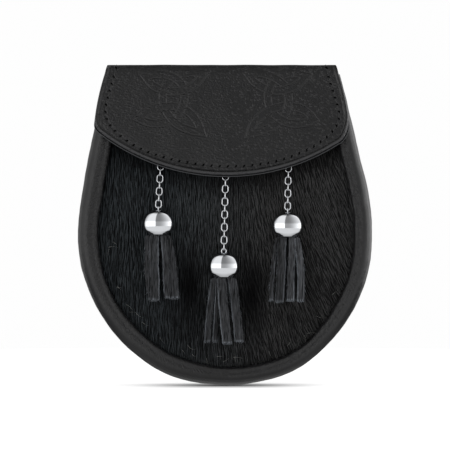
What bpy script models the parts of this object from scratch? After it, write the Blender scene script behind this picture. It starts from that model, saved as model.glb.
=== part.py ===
"""A sporran pouch of black leather with a fur front and three tassels. Metres, +Z up.

+X is to the right for someone who faces the wearer, the front faces -Y, and the origin is the middle of the
belt passage behind the pouch. Below, a height is measured up from the lowest point of the pouch, and a depth
forward from the rear face of the back panel. place() turns them into X, Y and Z.
"""

import math

import bmesh
import bpy
from mathutils import Matrix, Vector

MM = 0.001
GAP = 0.3 * MM  # between any two pieces

# Where the wearer's belt passes
BELT_HEIGHT = 163 * MM
PASSAGE_DEPTH = 6.6 * MM
PASSAGE_HEIGHT = 34 * MM

# The pouch's outline from the front: half an ellipse below, straight sides above
HALF_WIDTH = 94.15 * MM
WIDEST_HEIGHT = 95.7 * MM
SIDE_SLOPE = 0.198
POUCH_TOP = 199.4 * MM
LEAN = -0.0115  # sideways drift with height: it was sewn by hand
RIGHT_SWELL = 1.2 * MM  # how far the straight stretch of the right side bulges
FULLNESS = {  # hand-made fullness on the left and the right: mm outward, mm up to its middle, mm of spread
    -1: ((0.95, 145.0, 28.0), (0.8, 24.0, 12.0), (11.0, 0.0, 12.0)),
    1: ((1.6, 124.0, 19.0), (0.6, 60.0, 60.0), (11.0, 0.0, 15.0)),
}
SIDE_STEPS = 7
ROUND_STEPS = 15

# Leather and hide
BACK_THICKNESS = 2.5 * MM
BACK_TOP = 198.4 * MM
LINING_THICKNESS = 1.2 * MM
FLAP_THICKNESS = 1.6 * MM
STRAP_THICKNESS = 2.2 * MM

# The gusset: a side wall that turns over into the soft roll round the front
GUSSET_REAR = BACK_THICKNESS + GAP
CREST_DEPTH = 36 * MM
TOP_TAPER = 0.17  # share of the depth that is lost between the widest point and the top
ROLL_SHARES = {  # the roll's width on the left and the right every 20 degrees up from the bottom, and above,
    -1: (0.94, 1.09, 1.09, 1.07, 1.08),  # as shares of its section's width
    1: (0.94, 0.92, 0.87, 0.97, 0.96),
}
GUSSET_SECTION = (  # mm in from the outline, mm forward: up the outer face, over the roll, back inside
    (0.0, 2.8), (0.0, 14.0), (0.1, 23.0), (0.7, 28.5), (2.0, 32.4), (4.0, 35.0), (6.5, 36.0),
    (8.2, 35.6), (9.2, 34.8), (10.0, 35.3), (10.9, 35.2), (11.9, 34.3), (12.5, 32.6), (12.5, 30.6),
    (10.6, 30.6), (10.3, 32.4), (9.2, 32.8), (6.5, 34.0), (4.8, 33.2), (3.4, 31.2), (2.5, 28.0),
    (2.1, 23.0), (2.0, 14.0), (2.0, 2.8),
)  # fmt: skip

# The fur panel, a domed hide set behind the roll
FUR_INSET = 11 * MM
FUR_TOP = 190 * MM
FUR_EDGE_DEPTH = 28.0 * MM
FUR_RISE = 1.8 * MM
FUR_THICKNESS = 2.5 * MM
FUR_MIDDLE = Vector((0.0008, 0.104))
FUR_RINGS = (1.0, 0.9, 0.68, 0.4)

# The flap, cut flat and folded over the top
FLAP_LOWEST = 133.1 * MM
FLAP_FOLD_TOP = 205.1 * MM
FLAP_TAIL = 9 * MM
FOLD_RADIUS = 3 * MM
FLAP_TILT = math.atan(0.0568)
FLAP_REST = 0.4 * MM  # between the lining and the roll that it lies on
FLAP_BELLY = 2.5 * MM
FLAP_ARC_RADIUS = 133 * MM
FLAP_ARC_X = 1.3 * MM
FLAP_SIDES = {  # x at the fold, x and height of the corner, radius of the corner, bulge of the edge, all mm
    "left": (-75.0, -83.9, 164.2, 6.0, 1.1),
    "right": (71.4, 81.5, 160.0, 15.0, 1.0),
}
FLAP_STEP = 1.2 * MM  # how far the lining's edge shows beyond the leather's
FLAP_EDGE_STEPS = 4
FLAP_CORNER_STEPS = 3
FLAP_ARC_STEPS = 20
BEND_STEPS = 4
FLAP_COLUMN = 20 * MM
FLAP_ROW = 13 * MM

# Belt loops on the back
LOOP_X = 48 * MM
LOOP_WIDTH = 24 * MM
LOOP_FOOT = 7 * MM
LOOP_BEND = 1.6 * MM  # enough for the strap's inner face not to cross itself at a foot

# Chains, caps and fringes
LINK_LENGTH = 5.2 * MM  # along the middle of the wire, as the next two
LINK_WIDTH = 3.6 * MM
LINK_WIRE = 0.8 * MM
LINK_SIDES = 5
LINK_STEPS = 10
EYE_STEPS = 12
ANCHOR_EYE = 1.9 * MM
ANCHOR_WIRE = 0.9 * MM
ANCHOR_EYE_SUNK = 0.2 * MM  # how far the eye is let into its plate
ANCHOR_PLATE = (4.0 * MM, 1.0 * MM)  # radius, thickness
ANCHOR_SEGMENTS = 12
HOOK_ROUNDS = 4  # tries that bring the top of a sloping chain onto the domed fur
CAP_EYE = 1.5 * MM
CAP_EYE_RISE = 0.9 * MM  # from the cap's top to the middle of its eye
CAP_SECTION = (  # mm: radius, height from the widest point, down the outside from the top to the mouth
    (0.0, 8.3), (2.6, 8.1), (5.2, 7.3), (7.6, 5.6), (9.2, 3.1), (9.9, 0.3), (9.8, -2.4), (9.1, -4.5),
    (7.8, -5.9), (6.1, -7.2),
)  # fmt: skip
CAP_FLATNESS = 0.66  # its depth as a share of its width
CAP_WALL = 0.8 * MM
CAP_SEGMENTS = 20
STRIP_THICKNESS = 1.3 * MM
STRIP_LAYER = 1.6 * MM
MIDDLE_LAYER = 1.5
FRINGE_HEAD = (5.0 * MM, 5.0 * MM)  # radius, height, flattened as the cap is
HEAD_RISE = 0.6 * MM  # from the cap's mouth up to the head
HEAD_SEGMENTS = 16
STRIP_ROOT = (  # inside the cap: mm below its mouth, share of the upper x, of the width and of the layer
    (-3.0, 0.40, 0.55, 0.70), (0.0, 0.50, 0.62, 0.78),
)  # fmt: skip
STRIP_COURSE = (  # below the cap: share of the length, share of the width, share of the layer
    (0.03, 0.96, 1.10), (0.2, 1.0, 1.25), (0.4, 1.0, 1.35), (0.6, 1.0, 1.45), (0.8, 1.0, 1.5), (1.0, 1.0, 1.6),
)  # fmt: skip
TASSELS = {  # mm: x at the chain's top, x and height of the cap's middle, then the number of links
    "left": {"chain_x": -40.2, "cap_x": -42.2, "cap_height": 104.0, "links": 9},
    "center": {"chain_x": 0.9, "cap_x": -0.4, "cap_height": 76.9, "links": 14},
    "right": {"chain_x": 41.0, "cap_x": 40.2, "cap_height": 102.7, "links": 9},
}
STRIPS = {  # mm: x under the cap, halfway and at the end, width, length, layer from front (0) to back (3)
    "left": (
        (-5.5, -6.3, -4.2, 4.6, 41.6, 1), (-2.4, -2.3, -2.0, 6.2, 41.7, 0), (3.2, 5.1, 6.0, 4.4, 40.4, 0),
        (4.6, 8.7, 10.2, 5.6, 40.6, 1), (-5.8, -5.6, -3.4, 4.8, 41.0, 2), (5.6, 9.6, 11.2, 4.8, 40.2, 2),
        (1.6, 4.6, 6.6, 5.0, 40.0, 3),
    ),
    "center": (
        (-6.0, -8.6, -11.0, 3.6, 41.3, 1), (-3.6, -4.5, -5.9, 3.2, 41.2, 1), (-1.6, 0.0, 2.0, 6.2, 42.2, 0),
        (4.9, 7.8, 9.7, 5.8, 41.2, 1), (-6.2, -8.6, -10.4, 4.6, 40.6, 2), (4.2, 7.0, 9.0, 5.0, 40.4, 2),
        (-0.5, 0.8, 2.6, 4.8, 41.0, 3),
    ),
    "right": (
        (-6.6, -9.5, -10.4, 2.4, 40.8, 1), (-3.4, -4.2, -5.0, 5.6, 41.7, 0), (2.9, 2.5, 2.0, 4.4, 40.8, 0),
        (5.2, 8.1, 7.9, 4.9, 41.2, 1), (-4.4, -5.0, -5.4, 4.8, 40.8, 2), (4.6, 6.2, 5.6, 4.6, 40.6, 2),
        (0.8, 1.4, 1.6, 4.8, 40.6, 3),
    ),
}  # fmt: skip

# The press stud that holds the flap shut
STUD_HEIGHT = 159 * MM
STUD_FLANGE = (6.0 * MM, 1.2 * MM)  # radius, thickness
STUD_NECK = 4.0 * MM
STUD_SEGMENTS = 16

FINISHES = {  # linear colour, roughness, metallic
    "black_leather": ((0.022, 0.022, 0.024), 0.50, 0.0),
    "flap_leather": ((0.024, 0.024, 0.026), 0.55, 0.0),
    "lining_leather": ((0.035, 0.035, 0.037), 0.75, 0.0),
    "black_fur": ((0.012, 0.012, 0.013), 0.80, 0.0),
    "fringe_leather": ((0.030, 0.030, 0.032), 0.85, 0.0),
    "chrome": ((0.80, 0.80, 0.81), 0.06, 1.0),
}


# ---------------------------------------------------------------- places and outlines


def place(x, height, depth):
    """The world point at a place on the pouch."""
    return Vector((x, -(depth + PASSAGE_DEPTH / 2), height - BELT_HEIGHT))


def mix(start, end, share):
    return start + (end - start) * share


def side_angle():
    """Angle above the widest point at which the round bottom meets the straight side."""
    return math.atan(SIDE_SLOPE * WIDEST_HEIGHT / HALF_WIDTH)


def fullness(way, height):
    """How far one side stands out beyond the plain outline at this height."""
    return sum(out * MM * math.exp(-(((height / MM - up) / spread) ** 2)) for out, up, spread in FULLNESS[way])


def pouch_edge(way, top):
    """(point, outward) pairs from the bottom up one side: the right side at way 1, the left at -1."""
    edge = []
    for step in range(ROUND_STEPS + 1):
        angle = mix(-math.pi / 2, side_angle(), step / ROUND_STEPS)
        across, up = math.cos(angle), math.sin(angle)
        outward = Vector((way * across / HALF_WIDTH, up / WIDEST_HEIGHT)).normalized()
        edge.append((Vector((way * HALF_WIDTH * across, WIDEST_HEIGHT * (1 + up))), outward))
    start = edge[-1][0]
    for step in range(1, SIDE_STEPS + 1):
        share = step / SIDE_STEPS
        height = mix(start.y, top, share)
        swell = RIGHT_SWELL * 4 * share * (1 - share) if way == 1 else 0.0
        reach = abs(start.x) - SIDE_SLOPE * (height - start.y) + swell
        edge.append((Vector((way * reach, height)), Vector((way * math.hypot(1, SIDE_SLOPE), 0))))
    for point, outward in edge:
        point.x *= 1 + fullness(way, point.y) / HALF_WIDTH
    return edge


def roll_share(outward):
    """The roll's width where the outline faces this way."""
    shares = ROLL_SHARES[-1 if outward.x < 0 else 1]
    stop = min(math.degrees(math.atan2(abs(outward.x), -outward.y)) / 20, len(shares) - 1.001)
    rest = stop % 1
    return mix(shares[int(stop)], shares[int(stop) + 1], rest * rest * (3 - 2 * rest))


def pouch_outline(inset, top):
    """(x, height) points of the pouch's edge moved in by inset, from the top left round to the top right."""
    left, right = pouch_edge(-1, top), pouch_edge(1, top)
    outline = []
    for point, outward in left[:0:-1] + right:
        moved = point - outward * (inset * roll_share(outward))
        outline.append(Vector((moved.x + LEAN * (moved.y - WIDEST_HEIGHT), moved.y)))
    return outline


def moved_left(points, distance, closed):
    """A line of points moved to the left of its direction, which is inward where it runs anticlockwise."""
    moved = []
    last = len(points) - 1
    for here, point in enumerate(points):
        before = points[here - 1] if here or closed else None
        after = points[(here + 1) % len(points)] if here < last or closed else None
        arriving = (point - before if before else after - point).normalized()
        leaving = (after - point if after else point - before).normalized()
        left = Vector((-(arriving + leaving).y, (arriving + leaving).x)).normalized()
        moved.append(point + left * (distance / math.sqrt((1 + arriving.dot(leaving)) / 2)))
    return moved


def taper(height):
    """How deep the pouch is at this height, as a share of its full depth."""
    share = max(0.0, height - WIDEST_HEIGHT) / (POUCH_TOP - WIDEST_HEIGHT)
    return 1 - TOP_TAPER * share


def roll_depth(height, depth):
    """A depth of the gusset's section, at this height."""
    return GUSSET_REAR + (depth - GUSSET_REAR) * taper(height)


def fur_depth(x, height):
    """Depth of the fur panel's front face."""
    edge = pouch_outline(FUR_INSET, FUR_TOP)
    reach = max(point.x for point in edge)
    across = (x - FUR_MIDDLE.x) / reach
    along = (height - FUR_MIDDLE.y) / (FUR_TOP - FUR_MIDDLE.y)
    rise = FUR_RISE * max(0.0, 1 - across**2 - along**2)
    return roll_depth(height, FUR_EDGE_DEPTH + rise)


# ---------------------------------------------------------------- mesh tools


def finish(name):
    """The material of this name, made when it is first asked for."""
    material = bpy.data.materials.get(name)
    if material is None:
        material = bpy.data.materials.new(name)
        material.use_nodes = True
        color, roughness, metallic = FINISHES[name]
        shader = material.node_tree.nodes["Principled BSDF"]
        shader.inputs["Base Color"].default_value = (*color, 1)
        shader.inputs["Roughness"].default_value = roughness
        shader.inputs["Metallic"].default_value = metallic
        material.diffuse_color = (*color, 1)
    return material


def make_object(name, bm, finish_name, sharp_degrees=40):
    """An object of this closed mesh, with its faces turned out and its round parts shaded smooth."""
    bmesh.ops.recalc_face_normals(bm, faces=bm.faces)
    mesh = bpy.data.meshes.new(name)
    bm.to_mesh(mesh)
    bm.free()
    mesh.materials.append(finish(finish_name))
    mesh.shade_smooth()
    mesh.set_sharp_from_angle(angle=math.radians(sharp_degrees))
    made = bpy.data.objects.new(name, mesh)
    bpy.context.scene.collection.objects.link(made)
    return made


def loft(bm, rings, loop=False):
    """Joins each ring of points to the next. The ends are closed, or joined to each other in a loop."""
    rows = [[bm.verts.new(point) for point in ring] for ring in rings]
    following = rows[1:] + (rows[:1] if loop else [])
    for row, after in zip(rows, following):
        for here in range(len(row)):
            there = (here + 1) % len(row)
            bm.faces.new((row[here], row[there], after[there], after[here]))
    if not loop:
        bm.faces.new(rows[0])
        bm.faces.new(rows[-1])


def lathe(bm, profile, segments, spot, flatness=1.0):
    """Turns (radius, height) points round a vertical axis. The first and the last lie on the axis."""
    rows = []
    for radius, height in profile:
        turns = segments if radius else 1
        angles = [math.tau * step / segments for step in range(turns)]
        deep = radius * flatness
        ring = [spot + Vector((radius * math.cos(a), deep * math.sin(a), height)) for a in angles]
        rows.append([bm.verts.new(point) for point in ring])
    for row, after in zip(rows, rows[1:]):
        for here in range(segments):
            there = (here + 1) % segments
            corners = [row[here % len(row)], row[there % len(row)]]
            corners += [after[there % len(after)], after[here % len(after)]]
            bm.faces.new(list(dict.fromkeys(corners)))


def wire_loop(bm, middle, turn, length, width, wire, steps):
    """A closed loop of round wire. turn's columns are its width, its length and the way through it."""
    across, along, through = (Vector(turn.col[k]) for k in range(3))
    straight = (length - width) / 2
    rings = []
    for step in range(steps):
        angle = math.tau * (step + 0.5) / steps
        out = across * math.cos(angle) + along * math.sin(angle)
        spot = middle + out * (width / 2) + along * math.copysign(straight, math.sin(angle))
        around = [math.tau * side / LINK_SIDES for side in range(LINK_SIDES)]
        rings.append([spot + (out * math.cos(a) + through * math.sin(a)) * (wire / 2) for a in around])
    loft(bm, rings, loop=True)


def fuse(base, others):
    """Unites closed meshes with the base, and keeps them as hidden helpers."""
    group = bpy.data.collections.new(base.name + "_parts")
    bpy.context.scene.collection.children.link(group)
    for other in others:
        bpy.context.scene.collection.objects.unlink(other)
        group.objects.link(other)
        other.hide_render = True
        other.display_type = "WIRE"
    union = base.modifiers.new("union", "BOOLEAN")
    union.operation = "UNION"
    union.operand_type = "COLLECTION"
    union.collection = group
    union.solver = "EXACT"


# ---------------------------------------------------------------- body of the pouch


def make_back_panel():
    bm = bmesh.new()
    outline = pouch_outline(0.0, BACK_TOP)
    loft(bm, [[place(p.x, p.y, depth) for p in outline] for depth in (0.0, BACK_THICKNESS)])
    make_object("back_panel", bm, "black_leather")


def make_gusset():
    bm = bmesh.new()
    lines = []
    for inset, depth in GUSSET_SECTION:
        outline = pouch_outline(inset * MM, POUCH_TOP)
        lines.append([place(p.x, p.y, roll_depth(p.y, depth * MM)) for p in outline])
    loft(bm, [list(section) for section in zip(*lines)])
    make_object("gusset", bm, "black_leather")


def make_fur_panel():
    """Rings of points from the edge in to the middle, on the front face and again on the back."""
    bm = bmesh.new()
    edge = pouch_outline(FUR_INSET, FUR_TOP)
    faces = []
    for set_back in (0.0, FUR_THICKNESS):
        rows = []
        for scale in FUR_RINGS:
            ring = [FUR_MIDDLE + (point - FUR_MIDDLE) * scale for point in edge]
            rows.append([bm.verts.new(place(p.x, p.y, fur_depth(p.x, p.y) - set_back)) for p in ring])
        faces.append(rows)
    front, back = faces
    for rows in (front, back, [front[0], back[0]]):
        for row, after in zip(rows, rows[1:]):
            for here in range(len(edge)):
                there = (here + 1) % len(edge)
                bm.faces.new((row[here], row[there], after[there], after[here]))
    for rows, set_back in ((front, 0.0), (back, FUR_THICKNESS)):
        x, height = FUR_MIDDLE
        middle = bm.verts.new(place(x, height, fur_depth(x, height) - set_back))
        for here in range(len(edge)):
            bm.faces.new((rows[-1][here], rows[-1][(here + 1) % len(edge)], middle))
    make_object("fur_panel", bm, "black_fur")


# ---------------------------------------------------------------- flap


def lining_start():
    """Depth and height of the lining's inner face at the flap's lowest point."""
    return Vector((roll_depth(FLAP_LOWEST, CREST_DEPTH) + FLAP_REST, FLAP_LOWEST))


def fold_stops():
    """Distances along the flap, from its lowest point, at which each straight or bent run ends."""
    thickness = LINING_THICKNESS + GAP + FLAP_THICKNESS
    middle_height = FLAP_FOLD_TOP - thickness - FOLD_RADIUS
    climb = middle_height + FOLD_RADIUS * math.sin(FLAP_TILT) - FLAP_LOWEST
    front = climb / math.cos(FLAP_TILT)
    end = lining_start() + Vector((-math.sin(FLAP_TILT), math.cos(FLAP_TILT))) * front
    middle_depth = end.x - FOLD_RADIUS * math.cos(FLAP_TILT)
    bend = front + FOLD_RADIUS * (math.pi / 2 - FLAP_TILT)
    top = bend + middle_depth - (FOLD_RADIUS - GAP)
    back = top + FOLD_RADIUS * math.pi / 2
    return front, bend, top, back, back + FLAP_TAIL, Vector((middle_depth, middle_height))


def on_flap(x, run, out):
    """World point at this distance along the flap, and this far outside the lining's inner face."""
    front, bend, top, back, _, middle = fold_stops()
    if run <= front:
        share = run / front
        bulge = FLAP_BELLY * max(0.0, 1 - (x / HALF_WIDTH) ** 2) * (1 - share**2)
        along = Vector((-math.sin(FLAP_TILT), math.cos(FLAP_TILT)))
        spot = lining_start() + along * run + Vector((along.y, -along.x)) * (out + bulge)
    elif run <= bend:
        angle = FLAP_TILT + (run - front) / FOLD_RADIUS
        spot = middle + Vector((math.cos(angle), math.sin(angle))) * (FOLD_RADIUS + out)
    elif run <= top:
        spot = middle + Vector((bend - run, FOLD_RADIUS + out))
    elif run <= back:
        angle = math.pi / 2 + (run - top) / FOLD_RADIUS
        rear_middle = middle + Vector((bend - top, 0))
        spot = rear_middle + Vector((math.cos(angle), math.sin(angle))) * (FOLD_RADIUS + out)
    else:
        spot = middle + Vector((bend - top - FOLD_RADIUS - out, back - run))
    return place(x, spot.y, spot.x)


def bulged(start, end, bulge, steps):
    """Points on a shallow arc from start to end that swells to the right of its direction."""
    along = end - start
    aside = Vector((along.y, -along.x)).normalized() * bulge
    shares = [step / steps for step in range(steps + 1)]
    return [start + along * s + aside * (4 * s * (1 - s)) for s in shares]


def rounded(before, corner, after, radius, steps):
    """Points on the arc that rounds a corner."""
    arriving, leaving = (before - corner).normalized(), (after - corner).normalized()
    half = arriving.angle(leaving) / 2
    middle = corner + (arriving + leaving).normalized() * (radius / math.sin(half))
    start = corner + arriving * (radius / math.tan(half)) - middle
    end = corner + leaving * (radius / math.tan(half)) - middle
    return [middle + start.lerp(end, step / steps).normalized() * radius for step in range(steps + 1)]


def flap_outline(inset):
    """(x, run) points round the flap as it is cut from flat leather, from the tail's left end."""
    _, bend, _, _, tail, _ = fold_stops()
    arc_middle = Vector((FLAP_ARC_X, FLAP_ARC_RADIUS))
    edges = {}
    for side, (fold_x, corner_x, corner_height, radius, bulge) in FLAP_SIDES.items():
        way = 1 if side == "left" else -1
        fold = Vector((fold_x * MM, bend))
        corner = Vector((corner_x * MM, corner_height * MM - FLAP_LOWEST))
        toward = (corner - arc_middle).normalized()
        along_arc = Vector((-toward.y, toward.x)) * way
        arc = rounded(fold, corner, corner + along_arc, radius * MM, FLAP_CORNER_STEPS)
        edge = bulged(fold, arc[0], way * bulge * MM, FLAP_EDGE_STEPS)
        edges[side] = [Vector((fold_x * MM, tail))] + edge[:-1] + arc
    ends = [edges[side][-1] - arc_middle for side in ("left", "right")]
    angles = [math.atan2(end.x, -end.y) for end in ends]
    bottom = []
    for step in range(1, FLAP_ARC_STEPS):
        angle = mix(angles[0], angles[1], step / FLAP_ARC_STEPS)
        bottom.append(arc_middle + Vector((math.sin(angle), -math.cos(angle))) * FLAP_ARC_RADIUS)
    return moved_left(edges["left"] + bottom + edges["right"][::-1], inset, closed=True)


def fold_sheet(name, inset, inner, outer, finish_name):
    """Cuts the flap's outline, creases it where it bends, gives it thickness and folds it over the top."""
    front, bend, top, back, _, _ = fold_stops()
    bm = bmesh.new()
    bm.faces.new([bm.verts.new((point.x, point.y, 0)) for point in flap_outline(inset)])
    rows = [front * step / round(front / FLAP_ROW) for step in range(1, round(front / FLAP_ROW))]
    for start, end in ((front, bend), (top, back)):
        rows += [mix(start, end, step / BEND_STEPS) for step in range(BEND_STEPS + 1)]
    reach = int(HALF_WIDTH / FLAP_COLUMN)
    columns = [FLAP_COLUMN * step for step in range(-reach, reach + 1)]
    cuts = [((0, row, 0), (0, 1, 0)) for row in rows] + [((column, 0, 0), (1, 0, 0)) for column in columns]
    for spot, across in cuts:
        everything = bm.verts[:] + bm.edges[:] + bm.faces[:]
        bmesh.ops.bisect_plane(bm, geom=everything, plane_co=spot, plane_no=across, dist=1e-7)
    second = bmesh.ops.extrude_face_region(bm, geom=bm.faces[:], use_keep_orig=True)
    raised = {item for item in second["geom"] if isinstance(item, bmesh.types.BMVert)}
    for vert in bm.verts:
        vert.co = on_flap(vert.co.x, vert.co.y, outer if vert in raised else inner)
    make_object(name, bm, finish_name, sharp_degrees=50)


def make_flap():
    fold_sheet("flap_lining", 0.0, 0.0, LINING_THICKNESS, "lining_leather")
    inner = LINING_THICKNESS + GAP
    fold_sheet("flap", FLAP_STEP, inner, inner + FLAP_THICKNESS, "flap_leather")


def make_press_stud():
    """A stud between the fur panel and the flap, turned on an axis that points forward."""
    flange, thickness = STUD_FLANGE
    rear = fur_depth(0.0, STUD_HEIGHT) + GAP
    upper_edge = on_flap(flange, STUD_HEIGHT + flange - FLAP_LOWEST, -GAP)
    length = place(0.0, STUD_HEIGHT, rear).y - upper_edge.y
    profile = [(0, 0), (flange, 0), (flange, thickness), (STUD_NECK, thickness)]
    profile += [(radius, length - height) for radius, height in profile[::-1]]
    bm = bmesh.new()
    lathe(bm, profile, STUD_SEGMENTS, Vector((0, 0, 0)))
    bm.transform(Matrix.Translation(place(0.0, STUD_HEIGHT, rear)) @ Matrix.Rotation(math.pi / 2, 4, "X"))
    make_object("press_stud", bm, "chrome")


# ---------------------------------------------------------------- belt loops


def strap_line():
    """(height, distance behind the back panel) points along a loop's inner face, from foot to foot."""
    bends = (  # above the passage's end, behind the back panel
        (-LOOP_FOOT, GAP), (-LOOP_BEND, GAP), (0, GAP + LOOP_BEND),
        (0, PASSAGE_DEPTH - LOOP_BEND), (LOOP_BEND, PASSAGE_DEPTH),
    )  # fmt: skip
    half = PASSAGE_HEIGHT / 2
    lower = [Vector((BELT_HEIGHT - half + above, behind)) for above, behind in bends]
    upper = [Vector((BELT_HEIGHT + half - above, behind)) for above, behind in bends[::-1]]
    return lower + upper


def make_belt_loop(side, x):
    """A strap that stands off the back between two flat feet."""
    inner = strap_line()
    section = inner + moved_left(inner, STRAP_THICKNESS, closed=False)[::-1]
    bm = bmesh.new()
    ends = (x - LOOP_WIDTH / 2, x + LOOP_WIDTH / 2)
    loft(bm, [[place(end, height, -behind) for height, behind in section] for end in ends])
    make_object("belt_loop_" + side, bm, "black_leather")


# ---------------------------------------------------------------- tassels


def cap_profile():
    """(radius, height from the widest point) down the outside, round the mouth and up the inside."""
    outside = [(radius * MM, height * MM) for radius, height in CAP_SECTION]
    widest = max(radius for radius, _ in outside)
    narrower, lower = 1 - CAP_WALL / widest, 1 - CAP_WALL / outside[0][1]
    inside = [(radius * narrower, height * lower) for radius, height in outside[:-1:2]]
    mouth, bottom = outside[-1]
    return outside + [(mouth - CAP_WALL, bottom)] + inside[::-1]


def turned(across, along):
    """A matrix whose columns are across, along and the way through."""
    across, along = across.normalized(), along.normalized()
    return Matrix((across, along, across.cross(along))).transposed()


def make_anchor(side, spot, fur_front):
    """A disc on the fur panel with an eye that stands out from it."""
    radius, thickness = ANCHOR_PLATE
    bm = bmesh.new()
    disc = [(0, 0), (radius, 0), (radius, thickness), (0, thickness)]
    lathe(bm, disc, ANCHOR_SEGMENTS, Vector((0, 0, 0)))
    turn = Matrix.Rotation(math.pi / 2, 4, "X")
    bm.transform(Matrix.Translation(place(spot.x, spot.z + BELT_HEIGHT, fur_front + GAP)) @ turn)
    plate = make_object("chain_anchor_" + side, bm, "chrome")
    bm = bmesh.new()
    sideways = turned(Vector((0, 1, 0)), Vector((0, 0, 1)))
    wire_loop(bm, spot, sideways, 2 * ANCHOR_EYE, 2 * ANCHOR_EYE, ANCHOR_WIRE, EYE_STEPS)
    fuse(plate, [make_object("anchor_eye_" + side, bm, "chrome")])


def make_chain(side, first, last, count):
    """Links from the anchor's eye to the cap's, each at right angles to the one before."""
    along = (first - last).normalized()
    across = Vector((1, 0, 0))
    forward = along.cross(across).normalized()
    across = forward.cross(along)
    for number in range(count):
        turn = turned(across, along) if number % 2 == 0 else turned(forward, along)
        bm = bmesh.new()
        middle = mix(first, last, number / (count - 1))
        wire_loop(bm, middle, turn, LINK_LENGTH, LINK_WIDTH, LINK_WIRE, LINK_STEPS)
        make_object(f"chain_link_{side}_{number + 1:02d}", bm, "chrome", sharp_degrees=80)


def make_cap(side, middle, eye, eye_across):
    bm = bmesh.new()
    lathe(bm, cap_profile(), CAP_SEGMENTS, middle, CAP_FLATNESS)
    cap = make_object("tassel_cap_" + side, bm, "chrome")
    bm = bmesh.new()
    turn = turned(eye_across, Vector((0, 0, 1)))
    wire_loop(bm, eye, turn, 2 * CAP_EYE, 2 * CAP_EYE, LINK_WIRE, EYE_STEPS)
    fuse(cap, [make_object("cap_eye_" + side, bm, "chrome")])


def strip_rows(upper, middle, lower, width, length):
    """(mm below the mouth, x, width, share of the layer) down one strip."""
    rows = [(drop, upper * inward, width * narrow, layer) for drop, inward, narrow, layer in STRIP_ROOT]
    for share, narrow, layer in STRIP_COURSE:
        rest = 1 - share
        x = upper * rest * (rest - share) + middle * 4 * share * rest - lower * share * (rest - share)
        rows.append((share * length, x, width * narrow, layer))
    return rows


def make_fringe(side, mouth):
    """Leather strips that fan out below the cap, from a round head inside it."""
    radius, height = FRINGE_HEAD
    bm = bmesh.new()
    drum = [(0, 0), (radius, 0), (radius, height), (0, height)]
    lathe(bm, drum, HEAD_SEGMENTS, mouth + Vector((0, 0, HEAD_RISE)), CAP_FLATNESS)
    head = make_object("tassel_fringe_" + side, bm, "fringe_leather")
    strips = []
    for number, (*course, layer) in enumerate(STRIPS[side]):
        bm = bmesh.new()
        rings = []
        for drop, x, width, deepen in strip_rows(*course):
            y = (layer - MIDDLE_LAYER) * STRIP_LAYER * deepen
            half, thick = width * MM / 2, STRIP_THICKNESS / 2
            corners = ((-half, -thick), (half, -thick), (half, thick), (-half, thick))
            rings.append([mouth + Vector((x * MM + dx, y + dy, -drop * MM)) for dx, dy in corners])
        loft(bm, rings)
        strips.append(make_object(f"strip_{side}_{number + 1}", bm, "fringe_leather"))
    fuse(head, strips)


def make_tassel(side, sizes):
    """One tassel: the anchor, the chain, the cap that rests on the fur, and the fringe."""
    cap_x, cap_height = sizes["cap_x"] * MM, sizes["cap_height"] * MM
    half_depth = max(radius for radius, _ in CAP_SECTION) * MM * CAP_FLATNESS
    cap = place(cap_x, cap_height, fur_depth(cap_x, cap_height) + GAP + half_depth)
    cap_eye = cap + Vector((0, 0, CAP_SECTION[0][1] * MM + CAP_EYE_RISE))
    clearance = LINK_WIRE + GAP  # between the middles of two wires that hang in each other
    bottom = cap_eye + Vector((0, 0, CAP_EYE - clearance))
    pitch = LINK_LENGTH - clearance
    length = LINK_LENGTH + pitch * (sizes["links"] - 1)
    chain_x = sizes["chain_x"] * MM
    eye_drop = Vector((0, 0, ANCHOR_EYE - (ANCHOR_WIRE + LINK_WIRE) / 2 - GAP))
    eye_height = bottom.z + BELT_HEIGHT + length
    for _ in range(HOOK_ROUNDS):  # the chain's slope and the height of its top depend on each other
        fur_front = fur_depth(chain_x, eye_height)
        eye_depth = fur_front + GAP + ANCHOR_PLATE[1] + ANCHOR_EYE - ANCHOR_EYE_SUNK
        anchor_eye = place(chain_x, eye_height, eye_depth)
        top = anchor_eye - eye_drop
        sideways = math.hypot(top.x - bottom.x, top.y - bottom.y)
        eye_height = bottom.z + BELT_HEIGHT + math.sqrt(length**2 - sideways**2) + eye_drop.z
    half_link = (top - bottom).normalized() * (LINK_LENGTH / 2)
    make_anchor(side, anchor_eye, fur_front)
    make_chain(side, top - half_link, bottom + half_link, sizes["links"])
    even = sizes["links"] % 2 == 0
    make_cap(side, cap, cap_eye, Vector((1, 0, 0)) if even else Vector((0, 1, 0)))
    make_fringe(side, cap + Vector((0, 0, CAP_SECTION[-1][1] * MM)))


def main():
    for leftover in list(bpy.data.objects):
        bpy.data.objects.remove(leftover)
    make_back_panel()
    make_gusset()
    make_fur_panel()
    make_flap()
    make_press_stud()
    make_belt_loop("left", -LOOP_X)
    make_belt_loop("right", LOOP_X)
    for side, sizes in TASSELS.items():
        make_tassel(side, sizes)


main()
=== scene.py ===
# %% [markdown]
# # A sporran pouch of black leather, fur and chrome
#
# A sporran is the pouch that is worn in front of a kilt. This one has a wall of leather that turns over
# at the front into a soft roll, a panel of short black fur inside that roll, a flap with two pressed
# knots, and three tassels that hang from thin chains under chrome caps.
#
# The CAD model already fixes every size and place. This script dresses it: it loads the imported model,
# and then makes each visible piece again with the detail of the real one, in the same place. The sizes
# below repeat the ones that the CAD model was drawn with. Heights are measured up from the pouch's
# lowest point, and depths forward from its flat back, as a maker would with the pouch lying on its back.

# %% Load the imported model
import math

import bpy
import numpy as np
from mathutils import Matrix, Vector, geometry, kdtree, noise


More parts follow.
